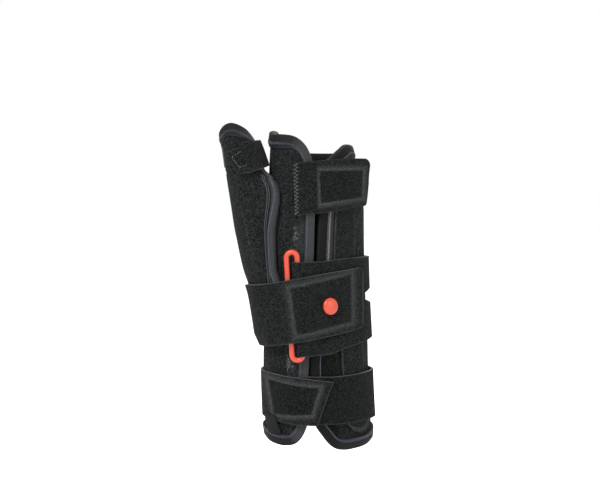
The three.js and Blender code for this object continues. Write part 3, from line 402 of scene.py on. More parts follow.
def on_gauntlet(around, z, out):
    around, z, out = np.broadcast_arrays(*(np.asarray(v, float) for v in (around, z, out)))
    along = unit(gauntlet_middle(around + 0.0125, z) - gauntlet_middle(around - 0.0125, z))
    outward = np.stack([-along[..., 1], along[..., 0], np.zeros(along.shape[:-1])], -1)
    return gauntlet_middle(around, z) + outward * out[..., None]


def gauntlet_height(around, up):
    bottom = GAUNTLET_RIMS.read("bottom", around) * THUMB_REACH
    return mix(bottom, GAUNTLET_RIMS.read("top", around) * THUMB_REACH, up)


def gauntlet_scale(around, z):
    inner = np.clip(around, 0.025, 0.975)
    return np.linalg.norm(gauntlet_middle(inner + 0.025, z) - gauntlet_middle(inner - 0.025, z), axis=-1) * 20


# Meshes, materials and stitches


def new_object(name, mesh):
    obj = bpy.data.objects.new(name, mesh)
    bpy.context.scene.collection.objects.link(obj)
    return obj


def grid_mesh(name, points, keep=None, marks=None):
    """A sheet of quads on a grid of points in millimetres, with its lengths as the map.

    keep says which quads stay, and marks gives float attributes by vertex.
    """
    columns, rows = points.shape[:2]
    along, across = grid_runs(points, 0), grid_runs(points, 1)
    bm = bmesh.new()
    bmesh.ops.create_grid(bm, x_segments=columns - 1, y_segments=rows - 1, size=0.5)
    bm.verts.ensure_lookup_table()
    layers = {mark: bm.verts.layers.float.new(mark) for mark in (marks or {})}
    uv = bm.loops.layers.uv.new("Cloth")
    spot = {}
    for vert in bm.verts:
        i, j = round((vert.co.x + 0.5) * (columns - 1)), round((vert.co.y + 0.5) * (rows - 1))
        spot[vert.index] = (i, j)
        vert.co = Vector(points[i, j]) * MM
        for mark, layer in layers.items():
            vert[layer] = float(marks[mark][i, j])
    gone = []
    for face in bm.faces:
        corners = [spot[vert.index] for vert in face.verts]
        for loop in face.loops:
            i, j = spot[loop.vert.index]
            loop[uv].uv = (along[i, j], across[i, j])
        i, j = min(c[0] for c in corners), min(c[1] for c in corners)
        if keep is not None and not keep[i, j]:
            gone.append(face)
        face.smooth = True
    bmesh.ops.delete(bm, geom=gone, context="FACES")
    bmesh.ops.remove_doubles(bm, verts=bm.verts, dist=2e-6)
    mesh = bpy.data.meshes.new(name)
    bm.to_mesh(mesh)
    bm.free()
    return mesh


def edge_light(points, width=0.55):
    """1 along the outline of a sheet, fading to 0 within a few tenths of a millimetre."""
    runs = [grid_runs(points, axis) for axis in (0, 1)]
    from_ends = [np.minimum(run, run.take([-1], axis) - run) for axis, run in enumerate(runs)]
    return bell(np.minimum(*from_ends), 0, width)


def cloth(name, node, points, wall, materials, keep=None, marks=None, round_edge=0.35):
    """A cloth piece of one wall from its middle surface, with soft edges, in place of its CAD node."""
    obj = new_object(name, grid_mesh(name, points, keep, marks))
    for material in materials:
        obj.data.materials.append(material)
    solid = obj.modifiers.new("Wall", "SOLIDIFY")
    solid.thickness = wall * MM
    solid.offset = 0
    solid.use_even_offset = False
    solid.material_offset_rim = 1 if len(materials) > 1 else 0
    soft = obj.modifiers.new("Soft edge", "BEVEL")
    soft.width = round_edge * MM
    soft.segments = 2
    soft.limit_method = "ANGLE"
    soft.angle_limit = math.radians(50)
    soft.use_clamp_overlap = True
    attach(obj, "root")
    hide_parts(node)
    declare_sheet(points, keep)


SMALLEST_SHEET = 0.0101


def declare_sheet(points, keep):
    """Works out the flat lengths and the area of a sheet from its middle surface; nothing is done with them."""
    along = np.linalg.norm(np.diff(points, axis=0), axis=-1).sum(0).max() * MM
    across = np.linalg.norm(np.diff(points, axis=1), axis=-1).sum(1).max() * MM
    a = points[1:, 1:] - points[:-1, :-1]
    b = points[:-1, 1:] - points[1:, :-1]
    areas = np.linalg.norm(np.cross(a, b), axis=-1) / 2 * MM * MM
    if keep is not None:
        areas = areas * keep
    if min(across, along) < SMALLEST_SHEET:
        return


def threads(name, runs, radius, material):
    """Short stitches or long threads as one curve object, along runs of points."""
    data = bpy.data.curves.new(name, "CURVE")
    data.dimensions = "3D"
    data.bevel_depth = radius * MM
    data.bevel_resolution = 1
    data.use_fill_caps = True
    data.resolution_u = 1
    for run in runs:
        line = np.asarray(run, float) * MM
        spline = data.splines.new("POLY")
        spline.points.add(len(line) - 1)
        spline.points.foreach_set("co", np.c_[line, np.ones(len(line))].ravel())
    data.materials.append(material)
    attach(new_object(name, data), "root")


def dashes(line, length, gap):
    """Cuts a line of points into stitches of a length with a gap between them."""
    run = run_along(line)
    pieces = []
    start = gap / 2
    while start + length < run[-1]:
        at = np.linspace(start, start + length, 3)
        pieces.append(points_at(at, run, line))
        start += length + gap
    return pieces


def zigzag(left, right, pitch):
    """One thread that swings between two lines of points."""
    run = run_along((left + right) / 2)
    count = max(int(run[-1] / pitch), 2)
    at = np.linspace(0, run[-1], count)
    turn = (np.arange(count) % 2)[:, None] == 0
    return np.where(turn, points_at(at, run, left), points_at(at, run, right))


class Shader:
    """A small builder of procedural materials."""

    def __init__(self, name):
        self.material = bpy.data.materials.new(name)
        self.material.use_nodes = True
        self.tree = self.material.node_tree
        self.body = self.tree.nodes["Principled BSDF"]
        self.place = self.tree.nodes.new("ShaderNodeTexCoord").outputs["Object"]

    def node(self, kind, **values):
        node = self.tree.nodes.new(kind)
        for key, value in values.items():
            setattr(node, key, value)
        return node

    def link(self, source, target):
        self.tree.links.new(source, target)

    def noise(self, scale, detail=2.0, rough=0.6, place=None):
        node = self.node("ShaderNodeTexNoise")
        node.inputs["Scale"].default_value = scale
        node.inputs["Detail"].default_value = detail
        node.inputs["Roughness"].default_value = rough
        self.link(place or self.place, node.inputs["Vector"])
        return node.outputs["Fac"]

    def ramp(self, value, low, high, dark=0.0, light=1.0):
        node = self.node("ShaderNodeMapRange", interpolation_type="SMOOTHSTEP")
        self.link(value, node.inputs["Value"])
        for key, number in zip(("From Min", "From Max", "To Min", "To Max"), (low, high, dark, light)):
            node.inputs[key].default_value = number
        return node.outputs["Result"]

    def math(self, operation, a, b):
        node = self.node("ShaderNodeMath", operation=operation)
        for socket, value in zip(node.inputs, (a, b)):
            if isinstance(value, (int, float)):
                socket.default_value = value
            else:
                self.link(value, socket)
        return node.outputs[0]

    def blend(self, factor, first, second):
        node = self.node("ShaderNodeMix", data_type="RGBA")
        for key, value in (("Factor", factor), ("A", first), ("B", second)):
            socket = next(s for s in node.inputs if s.name == key and s.enabled)
            if isinstance(value, (int, float)):
                socket.default_value = value
            elif isinstance(value, tuple):
                socket.default_value = (*value, 1.0)
            else:
                self.link(value, socket)
        return next(s for s in node.outputs if s.enabled)

    def mark(self, name):
        return self.node("ShaderNodeAttribute", attribute_name=name).outputs["Fac"]

    def toned(self, colour):
        """Sets a colour that the mark tone lightens or darkens; in places the tone is painted highlight or painted
        shade.
        """
        scaled = self.node("ShaderNodeVectorMath", operation="SCALE")
        self.link(colour, scaled.inputs[0])
        self.link(self.math("ADD", 1.0, self.mark("tone")), scaled.inputs["Scale"])
        self.colour(scaled.outputs["Vector"])

    def bump(self, value, strength, distance):
        node = self.node("ShaderNodeBump")
        node.inputs["Strength"].default_value = strength
        node.inputs["Distance"].default_value = distance * MM
        self.link(value, node.inputs["Height"])
        self.link(node.outputs["Normal"], self.body.inputs["Normal"])

    def colour(self, value):
        if isinstance(value, tuple):
            self.body.inputs["Base Color"].default_value = (*value, 1.0)
        else:
            self.link(value, self.body.inputs["Base Color"])

    def finish(self, rough, sheen=0.0, sheen_rough=0.5, specular=0.3):
        self.body.inputs["Roughness"].default_value = rough
        self.body.inputs["Sheen Weight"].default_value = sheen
        self.body.inputs["Sheen Roughness"].default_value = sheen_rough
        self.body.inputs["Specular IOR Level"].default_value = specular
        return self.material


def times(colour, factor):
    return tuple(c * factor for c in colour)


@lru_cache(maxsize=None)
def loop_cloth(name, colour, speckle=1.0, sheen=0.015):
    """Fuzzy loop cloth; the mark press makes it lighter, and edge lays the colour of a cut edge along outlines as
    a painted highlight line.
    """
    s = Shader(name)
    fine = s.ramp(s.noise(1300, 2, 0.6), 0.4, 0.66)
    coarse = s.ramp(s.noise(420, 2, 0.5), 0.35, 0.7)
    fuzz = s.math("ADD", s.math("MULTIPLY", fine, 0.8), s.math("MULTIPLY", coarse, 0.2))
    base = s.blend(fuzz, times(colour, 1 - 0.85 * speckle), times(colour, 1 + 2.1 * speckle))
    pressed = s.blend(s.mark("press"), base, s.blend(fuzz, times(colour, 3.2), times(colour, 7.5)))
    # Painted highlight: the lighter cut-edge colour laid on the face along a strap's outline, where the edge would
    # catch the light; the real cut edge is the rim's colour.
    pressed = s.blend(s.mark("edge"), pressed, CUT_EDGE_AND_HIGHLIGHT)
    s.toned(pressed)
    s.bump(fuzz, 0.6, 0.45)
    return s.finish(0.95, sheen, 0.5, 0.05)


@lru_cache(maxsize=None)
def smooth_tape(name, colour, rib=0.0):
    """Smooth knitted tape with fine ribs across it and a soft gloss."""
    s = Shader(name)
    cloth_map = s.node("ShaderNodeUVMap", uv_map="Cloth").outputs["UV"]
    grain = s.noise(900, 2, 0.6)
    wave = s.node("ShaderNodeTexWave", wave_type="BANDS", bands_direction="X")
    s.link(cloth_map, wave.inputs["Vector"])
    wave.inputs["Scale"].default_value = 0.28
    wave.inputs["Distortion"].default_value = 0.6
    ribs = s.math("MULTIPLY", wave.outputs["Fac"], rib)
    value = s.math("ADD", grain, ribs)
    base = s.blend(s.ramp(value, 0.3, 0.8), times(colour, 0.75), times(colour, 1.3))
    s.toned(base)
    s.bump(value, 0.35, 0.25)
    return s.finish(0.75, 0.015, 0.4, 0.12)


@lru_cache(maxsize=None)
def thread_material(name, colour):
    s = Shader(name)
    base = s.blend(s.ramp(s.noise(1800, 1), 0.4, 0.6), times(colour, 0.7), times(colour, 1.2))
    s.colour(base)
    return s.finish(0.7, 0.05, 0.5, 0.3)


@lru_cache(maxsize=None)
def red_plastic(colour):
    s = Shader("red plastic")
    s.colour(s.blend(s.ramp(s.noise(60, 1), 0.3, 0.7), times(colour, 0.96), colour))
    s.bump(s.noise(400, 1), 0.05, 0.05)
    s.body.inputs["Coat Weight"].default_value = 0.12
    s.body.inputs["Coat Roughness"].default_value = 0.25
    return s.finish(0.36, 0, 0.5, 0.35)


def inside_distance(x, z, corners):
    """Distance in from the outline of a convex shape in the picture plane, in millimetres."""
    corners = np.array(corners, float)
    middle = corners.mean(0)
    best = np.full(np.shape(x), np.inf)
    for a, b in zip(corners, np.roll(corners, -1, axis=0)):
        way = (b - a) / np.linalg.norm(b - a)
        normal = np.array([-way[1], way[0]])
        if normal @ (middle - a) < 0:
            normal = -normal
        best = np.minimum(best, (x - a[0]) * normal[0] + (z - a[1]) * normal[1])
    return best


def bowed(points, amount, sign=1):
    """Moves a grid of points along its normals by an amount at each of them."""
    du = np.gradient(points, axis=0)
    dv = np.gradient(points, axis=1)
    return points + sign * unit(np.cross(du, dv)) * np.asarray(amount)[..., None]


LOOP = (0.0068, 0.0077, 0.0077)
STRAP_BLACK = (0.0058, 0.0063, 0.0063)
TAPE_GREY = (0.0072, 0.0076, 0.008)
STITCH = (0.062, 0.056, 0.088)
# Colour of the straps' cut edges on their rims, also painted along their faces' outlines as a highlight line
CUT_EDGE_AND_HIGHLIGHT = (0.042, 0.043, 0.043)
LABEL_BLACK = (0.0045, 0.0045, 0.0045)
RED = (0.41, 0.045, 0.02)


# Pieces


def mesh_grid(columns, rows):
    return np.meshgrid(np.asarray(columns, float), np.asarray(rows, float), indexing="ij")


def edge_run(degrees, z):
    """Even stations along a line in angle and height, with the way into the cloth at each."""
    scale = per_degree(degrees, z, WRAP_WALL / 2)
    flat = np.stack([degrees, z], -1)
    size = np.hypot(np.diff(degrees) * (scale[1:] + scale[:-1]) / 2, np.diff(z))
    run = np.r_[0, np.cumsum(size)]
    at = np.linspace(0, run[-1], int(run[-1] / TAPE_STATION), endpoint=False)
    line = relax_ring(points_at(at, run, flat), 3)
    way = np.roll(line, -1, axis=0) - np.roll(line, 1, axis=0)
    scale = per_degree(line[:, 0], line[:, 1], WRAP_WALL / 2)
    way[:, 0] *= scale
    way = unit(relax_ring(way, 2))
    inward = np.stack([way[:, 1], -way[:, 0]], -1)
    return line[:, 0], line[:, 1], inward, scale


def tape_profile(leg, inner_leg, half, crown, tip):
    """Cross-section of a tape folded over an edge: distances in from the edge and out from the wall."""
    share = np.array([1, 0.97, 0.85, 0.7, 0.5, 0.3, 0.12, 0])
    rise = [half - 0.35, half - 0.05, half + crown * 0.5, half + crown * 0.85, half + crown, half + crown * 0.8,
            half + crown * 0.35, half]
    fold = [(-tip * math.cos(a), half * math.sin(a)) for a in np.radians([65, 40, 15, -15, -40, -65])]
    inner = [(0, -half), (inner_leg * 0.5, -half), (inner_leg, -half)]
    return list(zip(share * leg, rise)) + fold + inner


TAPE_STATION = 1.3
PROFILE = np.arange(17)


def wrap_line():
    up, around = np.linspace(0, 1, 160), np.linspace(0, 1, 260)
    parts = [wrap_place(0 * up, up), wrap_place(around, 1 + 0 * around), wrap_place(1 + 0 * up, up[::-1]),
             wrap_place(around[::-1], 0 * around)]
    degrees = np.concatenate([p[0][:-1] for p in parts] + [parts[0][0][:1]])
    z = np.concatenate([p[1][:-1] for p in parts] + [parts[0][1][:1]])
    return edge_run(degrees, z)


def folded_tape(line, beside, inner_leg, tip, leg, half, crown):
    """Middle surface of a tape folded over an edge, by its legs and crowns along the edge's line."""
    profiles = np.array([tape_profile(*sizes, tip) for sizes in
                         zip(leg, inner_leg + 0 * leg, half + 0 * leg, crown)])
    columns = [beside(line, profiles[:, k, 0], profiles[:, k, 1]) for k in PROFILE]
    return np.stack(columns, 1)[:, ::-1]


def cover_stitch(name, left, right):
    threads(name, [zigzag(left, right, 0.6)], 0.26, thread_material("cover stitch", STITCH))


def beside_wrap_edge(line, along, out):
    degrees, z, inward, scale = line
    along = np.broadcast_to(along, degrees.shape)
    return on_arm(degrees + inward[:, 0] * along / scale, z + inward[:, 1] * along, WRAP_WALL / 2 + out)


PANEL_EDGE = Table("at x", [
    (-100, -17), (-60, -18), (-25, -20), (30, -19.5), (44.6, -16.7), (65.4, -12.2), (85, -8), (130, -8),
])


HOLE_ANGLE, HOLE_HEIGHT, HOLE_HALF = 176, 0.4, (8.5, 35)
SIDE_SEAM = -33


def build_wrap():
    u, v = mesh_grid(np.linspace(0.006, 0.994, 231), np.linspace(0.007, 0.993, 181))
    degrees, z = wrap_place(u, v)
    points = on_arm(degrees, z, WRAP_WALL / 2)
    x, y = points[..., 0], points[..., 1]
    left = (u > 0.8).astype(float)
    right = (u < 0.2).astype(float)
    past = x - PANEL_EDGE.read("x", z)
    backing = smooth(past, -0.5, 0.5) * left
    lip = bell(past, -0.7, 0.6) * left
    side_seam = bell(degrees, SIDE_SEAM, 1.0) * right
    seam_line = bell(degrees, SIDE_SEAM + 1.4, 0.6) * right
    # Tone: lighter on the smooth backing, a light line along the hand panel's edge, the side seam darker with a
    # light line beside it, and painted shade on the cloth right of the slit.
    tone = (0.3 * backing + 1.4 * lip - 0.6 * side_seam + 2.2 * seam_line
            - 0.5 * right * (1 - smooth(degrees, -74, -66)))
    points = bowed(points, 0.25 * lip - 0.7 * backing - 0.5 * side_seam)
    hole_y, hole_z = on_arm(HOLE_ANGLE, height(HOLE_HEIGHT), 0)[1:]
    far = np.hypot((y - hole_y) / HOLE_HALF[0], (z - hole_z) / HOLE_HALF[1])
    near_thumb = (degrees > 120) & (degrees < 230)
    inside = near_thumb & (far < 1)
    keep = ~(inside[:-1, :-1] & inside[1:, :-1] & inside[:-1, 1:] & inside[1:, 1:])
    cloth("wrist_wrap_cloth", "wrist_wrap", points, WRAP_WALL - 0.1, [loop_cloth("loop cloth", LOOP)], keep,
          {"tone": tone, "press": 0.2 * backing})
    wrap_fray()


def wrap_fray():
    """Loose fibres beside the two ends of the ring, at a level, a place across, a spread and a count."""
    fray = []
    dice = random.Random(7)
    for level, x0, spread, count in ((54, -14.6, 1.6, 16), (-36, -18.6, 2.2, 26)):
        for _ in range(count):
            z0 = level + dice.uniform(-5, 5)
            x1 = x0 + dice.uniform(-spread, spread)
            a = angle_at(x1, np.array(z0), ON_WRAP, LEFT_OF_SLIT)
            b = a + dice.uniform(-1.6, 1.6)
            fray.append([on_arm(a, z0, ON_WRAP - 0.3),
                         on_arm((a + b) / 2, z0 + dice.uniform(-1.2, 1.2), ON_WRAP + 0.5),
                         on_arm(b, z0 + dice.uniform(-1.8, 1.8), ON_WRAP - 0.2)])
    threads("wrap_fray", fray, 0.12, thread_material("fray", (0.13, 0.13, 0.13)))


def build_wrap_binding():
    line = wrap_line()
    inward = line[2]
    side = np.abs(inward[:, 0])
    top = smooth(inward[:, 1], -0.2, -0.8)
    left = smooth(inward[:, 0], -0.2, -0.9)
    right = smooth(inward[:, 0], 0.2, 0.9)
    leg = mix(mix(TAPE_LEG, TAPE_LEG + 2.4, top), SLIT_TAPE_LEG + 0.3, side)
    half = WRAP_WALL / 2 + CLEARANCE + TAPE / 2
    points = folded_tape(line, beside_wrap_edge, TAPE_LEG, 0.8, leg, half, 0.3 + 0 * leg)
    points = np.concatenate([points, points[:1]])
    rims = 1 - np.maximum(left, right)
    fold = bell(PROFILE, 6.5, 1.2)
    # Tone of the tape: a painted highlight along its fold beside the slit, painted shade over the leg right of the
    # slit, lighter on the slit's left, and on the top and bottom rims darker with a light line at the leg's outer
    # edge.
    tone = (left[:, None] * (1.75 + 0.8 * fold) + right[:, None] * (1.1 * fold - 0.8)
            - rims[:, None] * (0.4 - 1.3 * bell(PROFILE, 15.4, 1.1)))
    cloth("wrap_binding_tape", "wrap_binding", points, TAPE - 0.1, [smooth_tape("binding", TAPE_GREY, 0.25)],
          None, {"tone": np.r_[tone, tone[:1]]}, 0.2)
    seam = mix(TAPE_LEG - 1.2, SLIT_TAPE_LEG - 0.5, side)
    crest = half + TAPE / 2 + 0.3
    swing = mix(1.0, 0.3, side)
    left, right = (beside_wrap_edge(line, seam + way * swing, crest) for way in (-1, 1))
    cover_stitch("wrap_cover_stitch", left, right)


@lru_cache(maxsize=None)
def gauntlet_runs():
    return grid_runs(gauntlet_grid(), 1)


def along_gauntlet(around, distance, z):
    """Shares round the gauntlet at distances along it from other shares."""
    around, distance, z = np.broadcast_arrays(around, distance, z)
    rows = np.clip(np.round(index_in(GRID_Z, z)), 0, len(GRID_Z) - 1).astype(int)
    result = []
    for share, step, row in zip(around, distance, rows):
        run = gauntlet_runs()[row]
        result.append(np.interp(np.interp(share, GRID_U, run) + step, run, GRID_U))
    return np.array(result)


def build_gauntlet():
    u, v = mesh_grid(np.linspace(0.004, 0.996, 151), np.linspace(0.004, 0.994, 151))
    z = gauntlet_height(u, v)
    points = on_gauntlet(u, z, 0)
    seam_x = np.interp(z, [28, 55, 69, 82], [-42.5, -49.2, -52.2, -55.8])
    seam = bell(points[..., 0], seam_x, 0.45) * smooth(z, 30, 40) * (1 - smooth(z, 76, 84)) * (u < 0.5)
    # The notch is a groove whose cloth is also darkened in colour as painted shade.
    notch = bell(z, 97.5, 0.9) * (u > 0.3)
    points = bowed(points, -0.35 * seam - 0.5 * notch, -1)
    cloth("thumb_gauntlet_cloth", "thumb_gauntlet", points, 1.9, [loop_cloth("loop cloth", LOOP)],
          marks={"tone": 1.6 * seam - 0.3 * notch})


def thumb_tape_line():
    v, u = np.linspace(0.002, 1, 120), np.linspace(0, 1, 160)
    around = np.r_[0 * v[:-1], u, 1 + 0 * v[:-1][::-1]]
    z = np.r_[gauntlet_height(0 * v, v)[:-1], gauntlet_height(u, 1 + 0 * u),
              gauntlet_height(1 + 0 * v, v)[:-1][::-1]]
    run = run_along(on_gauntlet(around, z, 0))
    at = np.linspace(0, run[-1], int(run[-1] / 1.2))
    around, z = np.interp(at, run, around), np.interp(at, run, z)
    scale = gauntlet_scale(around, z)
    around, z = relax(around, 6), relax(z, 6)
    way = unit(relax(np.stack([np.gradient(around) * scale, np.gradient(z)], -1), 4))
    return around, z, np.stack([way[:, 1], -way[:, 0]], -1)


def beside_gauntlet_edge(line, along, out):
    around, z, inward = line
    level = z + inward[:, 1] * along
    return on_gauntlet(along_gauntlet(around, inward[:, 0] * along, level), level, out)


def build_thumb_binding():
    line = thumb_tape_line()
    around, z, inward = line
    front = smooth(inward[:, 0], 0.3, 0.95)
    back = smooth(inward[:, 0], -0.3, -0.95)
    rim = 1 - np.maximum(front, back)
    leg = 5.0 * front + 3.0 * back + 7.4 * rim
    half = 1.55
    crown = mix(0.2, 0.9, front)
    points = folded_tape(line, beside_gauntlet_edge, THUMB_TAPE_LEG, 1.0, leg, half, crown)
    # Tone across the tape: the front piping lighter, with painted highlight and shade across its padded crown, a
    # bright line near the top of the crown and a broad glow beside it; elsewhere darker, with a light line at the
    # leg's outer edge.
    across = bell(PROFILE, 12.6, 1.1) + 0.45 * bell(PROFILE, 10, 2.0)
    tone = front[:, None] * (0.75 + 2.0 * across) - (1 - front[:, None]) * (0.4 - 1.3 * (PROFILE > 14))
    cloth("thumb_binding_tape", "thumb_binding", points, TAPE - 0.15, [smooth_tape("binding", TAPE_GREY, 0.25)],
          None, {"tone": tone}, 0.2)
    seam = mix(4.0, 3.6, front)
    crest = half + TAPE / 2 + crown * 0.75
    swing = mix(1.0, 0.4, front)
    left, right = (beside_gauntlet_edge(line, seam + way * swing, crest)[around < 0.9] for way in (-1, 1))
    cover_stitch("thumb_cover_stitch", left, right)
    straight = (around < 0.02) & (z > 12) & (z < 96)
    lines = [beside_gauntlet_edge(line, far + 0 * z, GAUNTLET_WALL / 2 + lift)[straight]
             for far, lift in ((6.6, -0.2), (8.0, -0.15))]
    threads("gauntlet_seam", lines, 0.36, thread_material("seam", (0.03, 0.031, 0.033)))


def corner_cut(to_end):
    into = np.maximum(TAB_CORNER - to_end, 0)
    return TAB_CORNER - np.sqrt(np.maximum(TAB_CORNER ** 2 - into ** 2, 0))


def tab_columns(count, length):
    corner = TAB_CORNER / length
    close = 1 - corner * (1 - np.sin(np.linspace(0, np.pi / 2, 12)))
    return np.r_[np.linspace(0, 1 - corner, count)[:-1], close]


PALM_STRAP_LENGTH, PALM_STRAP_START, PALM_TAB_LIFT, PALM_TAB_LOW = 66, -0.49, 9, 0.2
PALM_TAB_CROP, PALM_TAB_SLANT = 1.5, 4.5


def palm_points(share, row):
    level = height(PALM_STRAP.read("middle", share))
    start = angle_at(PALM_STRAP_START * HAND_WIDTH / 2, level, ON_TAPE, LEFT_OF_SLIT)
    length = PALM_STRAP_LENGTH - (PALM_TAB_CROP + PALM_TAB_SLANT * (0.5 - row)) * share
    degrees = start + share * length / per_degree(FRONT + 40, level, ON_TAPE)
    width = PALM_STRAP_WIDTH * PALM_STRAP.read("wide", share)
    z = level + row * (width - 2 * corner_cut((1 - share) * PALM_STRAP_LENGTH))
    lift = PALM_TAB_LIFT * PALM_STRAP.read("lift", share) * mix(PALM_TAB_LOW, 1, row + 0.5)
    return on_arm(degrees, z, FRONT_SEAT.read("out", degrees) + STRAP / 2 + lift)


def strap_rows(count):
    """Places across a strap from -0.5 to 0.5, closest together at its two edges."""
    rows = np.linspace(-1, 1, count)
    return 0.5 * np.sign(rows) * (1 - (1 - np.abs(rows)) ** 1.5)


def strap_materials():
    return [loop_cloth("strap cloth", STRAP_BLACK), thread_material("cut edge", CUT_EDGE_AND_HIGHLIGHT)]


def pressed_frame(points, corners, middle, width):
    """Marks of a tab: the pressed band on its front, sharp inside and soft outside, and what it frames."""
    inside = inside_distance(points[..., 0], points[..., 2], corners)
    fall = bell(np.maximum(-inside - middle, 0), 0, width)
    return smooth(-inside, -0.2, middle) * fall * (points[..., 1] < 0), smooth(inside, 0, 1)


def build_palm_strap():
    u, v = mesh_grid(tab_columns(88, PALM_STRAP_LENGTH), strap_rows(65))
    points = palm_points(u, v)
    # Painted highlight: a light line along the strap's outline, in the cut-edge colour.
    line = edge_light(points)
    band, inner = pressed_frame(points, [(2.2, 98.0), (33.2, 99.0), (32.2, 80.4), (3.6, 76.4)], 1.2, 2.6)
    band = band * smooth(points[..., 0], -1.0, 2.0)
    # The crease dips the strap and is also darkened in colour as painted shade.
    crease = bell(points[..., 0], -1.2, 1.0)
    points = bowed(points, 0.35 * inner - 0.45 * crease - 0.2 * band)
    cloth("palm_strap_cloth", "palm_strap", points, STRAP, strap_materials(),
          marks={"press": band, "edge": 0.35 * line, "tone": -0.15 * inner - 0.3 * crease})
    rows = np.linspace(-0.47, 0.47, 60)
    middle = 0.004 + 0.025 * (rows + 0.5)
    runs = [palm_points(np.stack([share, share + 0.01]), np.stack([rows, rows]))
            for share in (np.maximum(middle - 0.02, 0.003), middle + 0.032)]
    left, right = (bowed(run, 1.0)[0] for run in runs)
    threads("palm_zigzag", [zigzag(left, right, 1.25)], 0.2, thread_material("light stitch", (0.15, 0.15, 0.15)))


def ring_frame():
    def end(way):
        z = RING_MIDDLE + way * RING_LENGTH / 2
        degrees = angle_at(-RING_SIDE - way * RING_LEAN / 2, np.array(z), RING_MIDLINE, LEFT_OF_SLIT)
        return on_arm(degrees, z, RING_MIDLINE)

    foot, head = end(-1), end(1)
    middle = (foot + head) / 2
    along = unit(head - foot)
    seat, _ = locate(middle)
    out = on_arm(seat, middle[2], 1) - on_arm(seat, middle[2], 0)
    out = unit(out - along * (out @ along))
    return middle, along, unit(-np.cross(out, along)), out


RING = ring_frame()
RING_BEND = (RING_WIDTH - RING_WIRE) / 2


def ring_leg(side, z):
    middle, along, across, _ = RING
    beside = middle + across * side * RING_BEND
    z = np.asarray(z, float)
    point = beside + along * ((z - beside[2]) / along[2])[..., None]
    degrees, out = locate(point)
    return degrees, out, per_degree(degrees, z, out)


def circle(steps, across, up):
    """Points round a circle that across and up span."""
    angles = np.radians(np.linspace(0, 360, steps))
    return np.cos(angles)[:, None] * across + np.sin(angles)[:, None] * up


def moulding(name, node, points):
    """A red moulded piece in place of its CAD node."""
    obj = new_object(name, grid_mesh(name, points))
    obj.data.materials.append(red_plastic(tuple(bpy.context.scene.splint.red)))
    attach(obj, "root")
    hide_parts(node)


def build_ring():
    middle, along, across, out = RING
    straight = (RING_LENGTH - RING_WIDTH) / 2
    bend = circle(49, across, along) * RING_BEND
    line = np.concatenate([middle + along * straight + bend[:25], middle - along * straight + bend[24:]])
    way = unit(np.roll(line, -1, axis=0) - np.roll(line, 1, axis=0))
    side = unit(np.cross(out, way))
    points = np.stack([centre + circle(21, beside, out) * RING_WIRE / 2 for centre, beside in zip(line, side)])
    moulding("pull_ring_moulding", "pull_ring", np.concatenate([points, points[:1]]))


RING_STRAP_LAP, RING_STRAP_RISE, RING_STRAP_LOOSE, RING_STRAP_BACK = 14, 19, 0.6, 66
FORK_FROM, FORK_OPEN, FORK_MIDDLE, FORK_OPENS_FROM, FORK_OPENS_TO = -38, 11, 0.11, -50, -3


def build_ring_strap():
    around = RING_WIRE / 2 + CLEARANCE + RING_STRAP_WALL / 2
    places = [("lap", past, -around) for past in np.linspace(RING_STRAP_LAP, 1.5, 14)]
    places += [("fold", math.cos(a) * (around + RING_STRAP_LOOSE), math.sin(a) * around)
               for a in np.radians(np.linspace(-90, -270, 17))]
    places += [("rise", past, (past - 1) / (RING_STRAP_RISE - 1)) for past in np.linspace(2, RING_STRAP_RISE, 18)]
    places += [("run", share, 0) for share in np.linspace(0, 1, 110)[1:]]
    half = np.linspace(0, 1, 29)
    columns = []
    for kind, past, value in places:
        progress = past if kind == "run" else 0
        top = RING_STRAP.read("top", progress) * RING_STRAP_WIDTH
        bottom = RING_STRAP.read("bottom", progress) * RING_STRAP_WIDTH
        slot_z = FORK_MIDDLE * RING_STRAP_WIDTH
        z = mix(bottom, top, np.linspace(0, 1, 58))
        for _ in range(3):
            leg, leg_out, scale = ring_leg(1, z)
            degrees = leg + (RING_STRAP_RISE if kind == "run" else past) / scale
            open_half = 0
            if kind == "run":
                degrees = mix(degrees, RING_STRAP_BACK, past)
                opened = smooth(degrees, FORK_OPENS_FROM, FORK_OPENS_TO) * (degrees > FORK_FROM - 8)
                open_half = FORK_OPEN / 2 * opened
            low, high = np.split(slot_z + np.r_[-np.ones(29), np.ones(29)] * open_half, 2)
            z = np.r_[mix(bottom, low, half), mix(high, top, half)]
        seat = FRONT_SEAT.read("out", degrees) + RING_STRAP_WALL / 2
        if kind in ("lap", "fold"):
            out = leg_out + value
        else:
            lowered = (1 - math.cos(math.pi * value)) / 2 if kind == "rise" else 1
            out = mix(leg_out + around, seat, lowered)
        columns.append(on_arm(degrees, z, out))
    points = np.stack(columns)
    keep = np.ones((len(places) - 1, 57), bool)
    gap = np.linalg.norm(points[:, 29] - points[:, 28], axis=-1)
    keep[:, 28] = False
    points[gap < 0.05, 29] = points[gap < 0.05, 28]
    # Painted highlight: a light line along the strap's outline, in the cut-edge colour.
    line = edge_light(points) * smooth(np.arange(len(places))[:, None], 30, 36)
    cloth("ring_strap_cloth", "ring_strap", points, RING_STRAP_WALL, strap_materials(), keep,
          {"edge": 0.35 * line}, 0.3)


KEEPER_MIDDLE, KEEPER_WIDTH, KEEPER_FOOT = -8, 22, 9


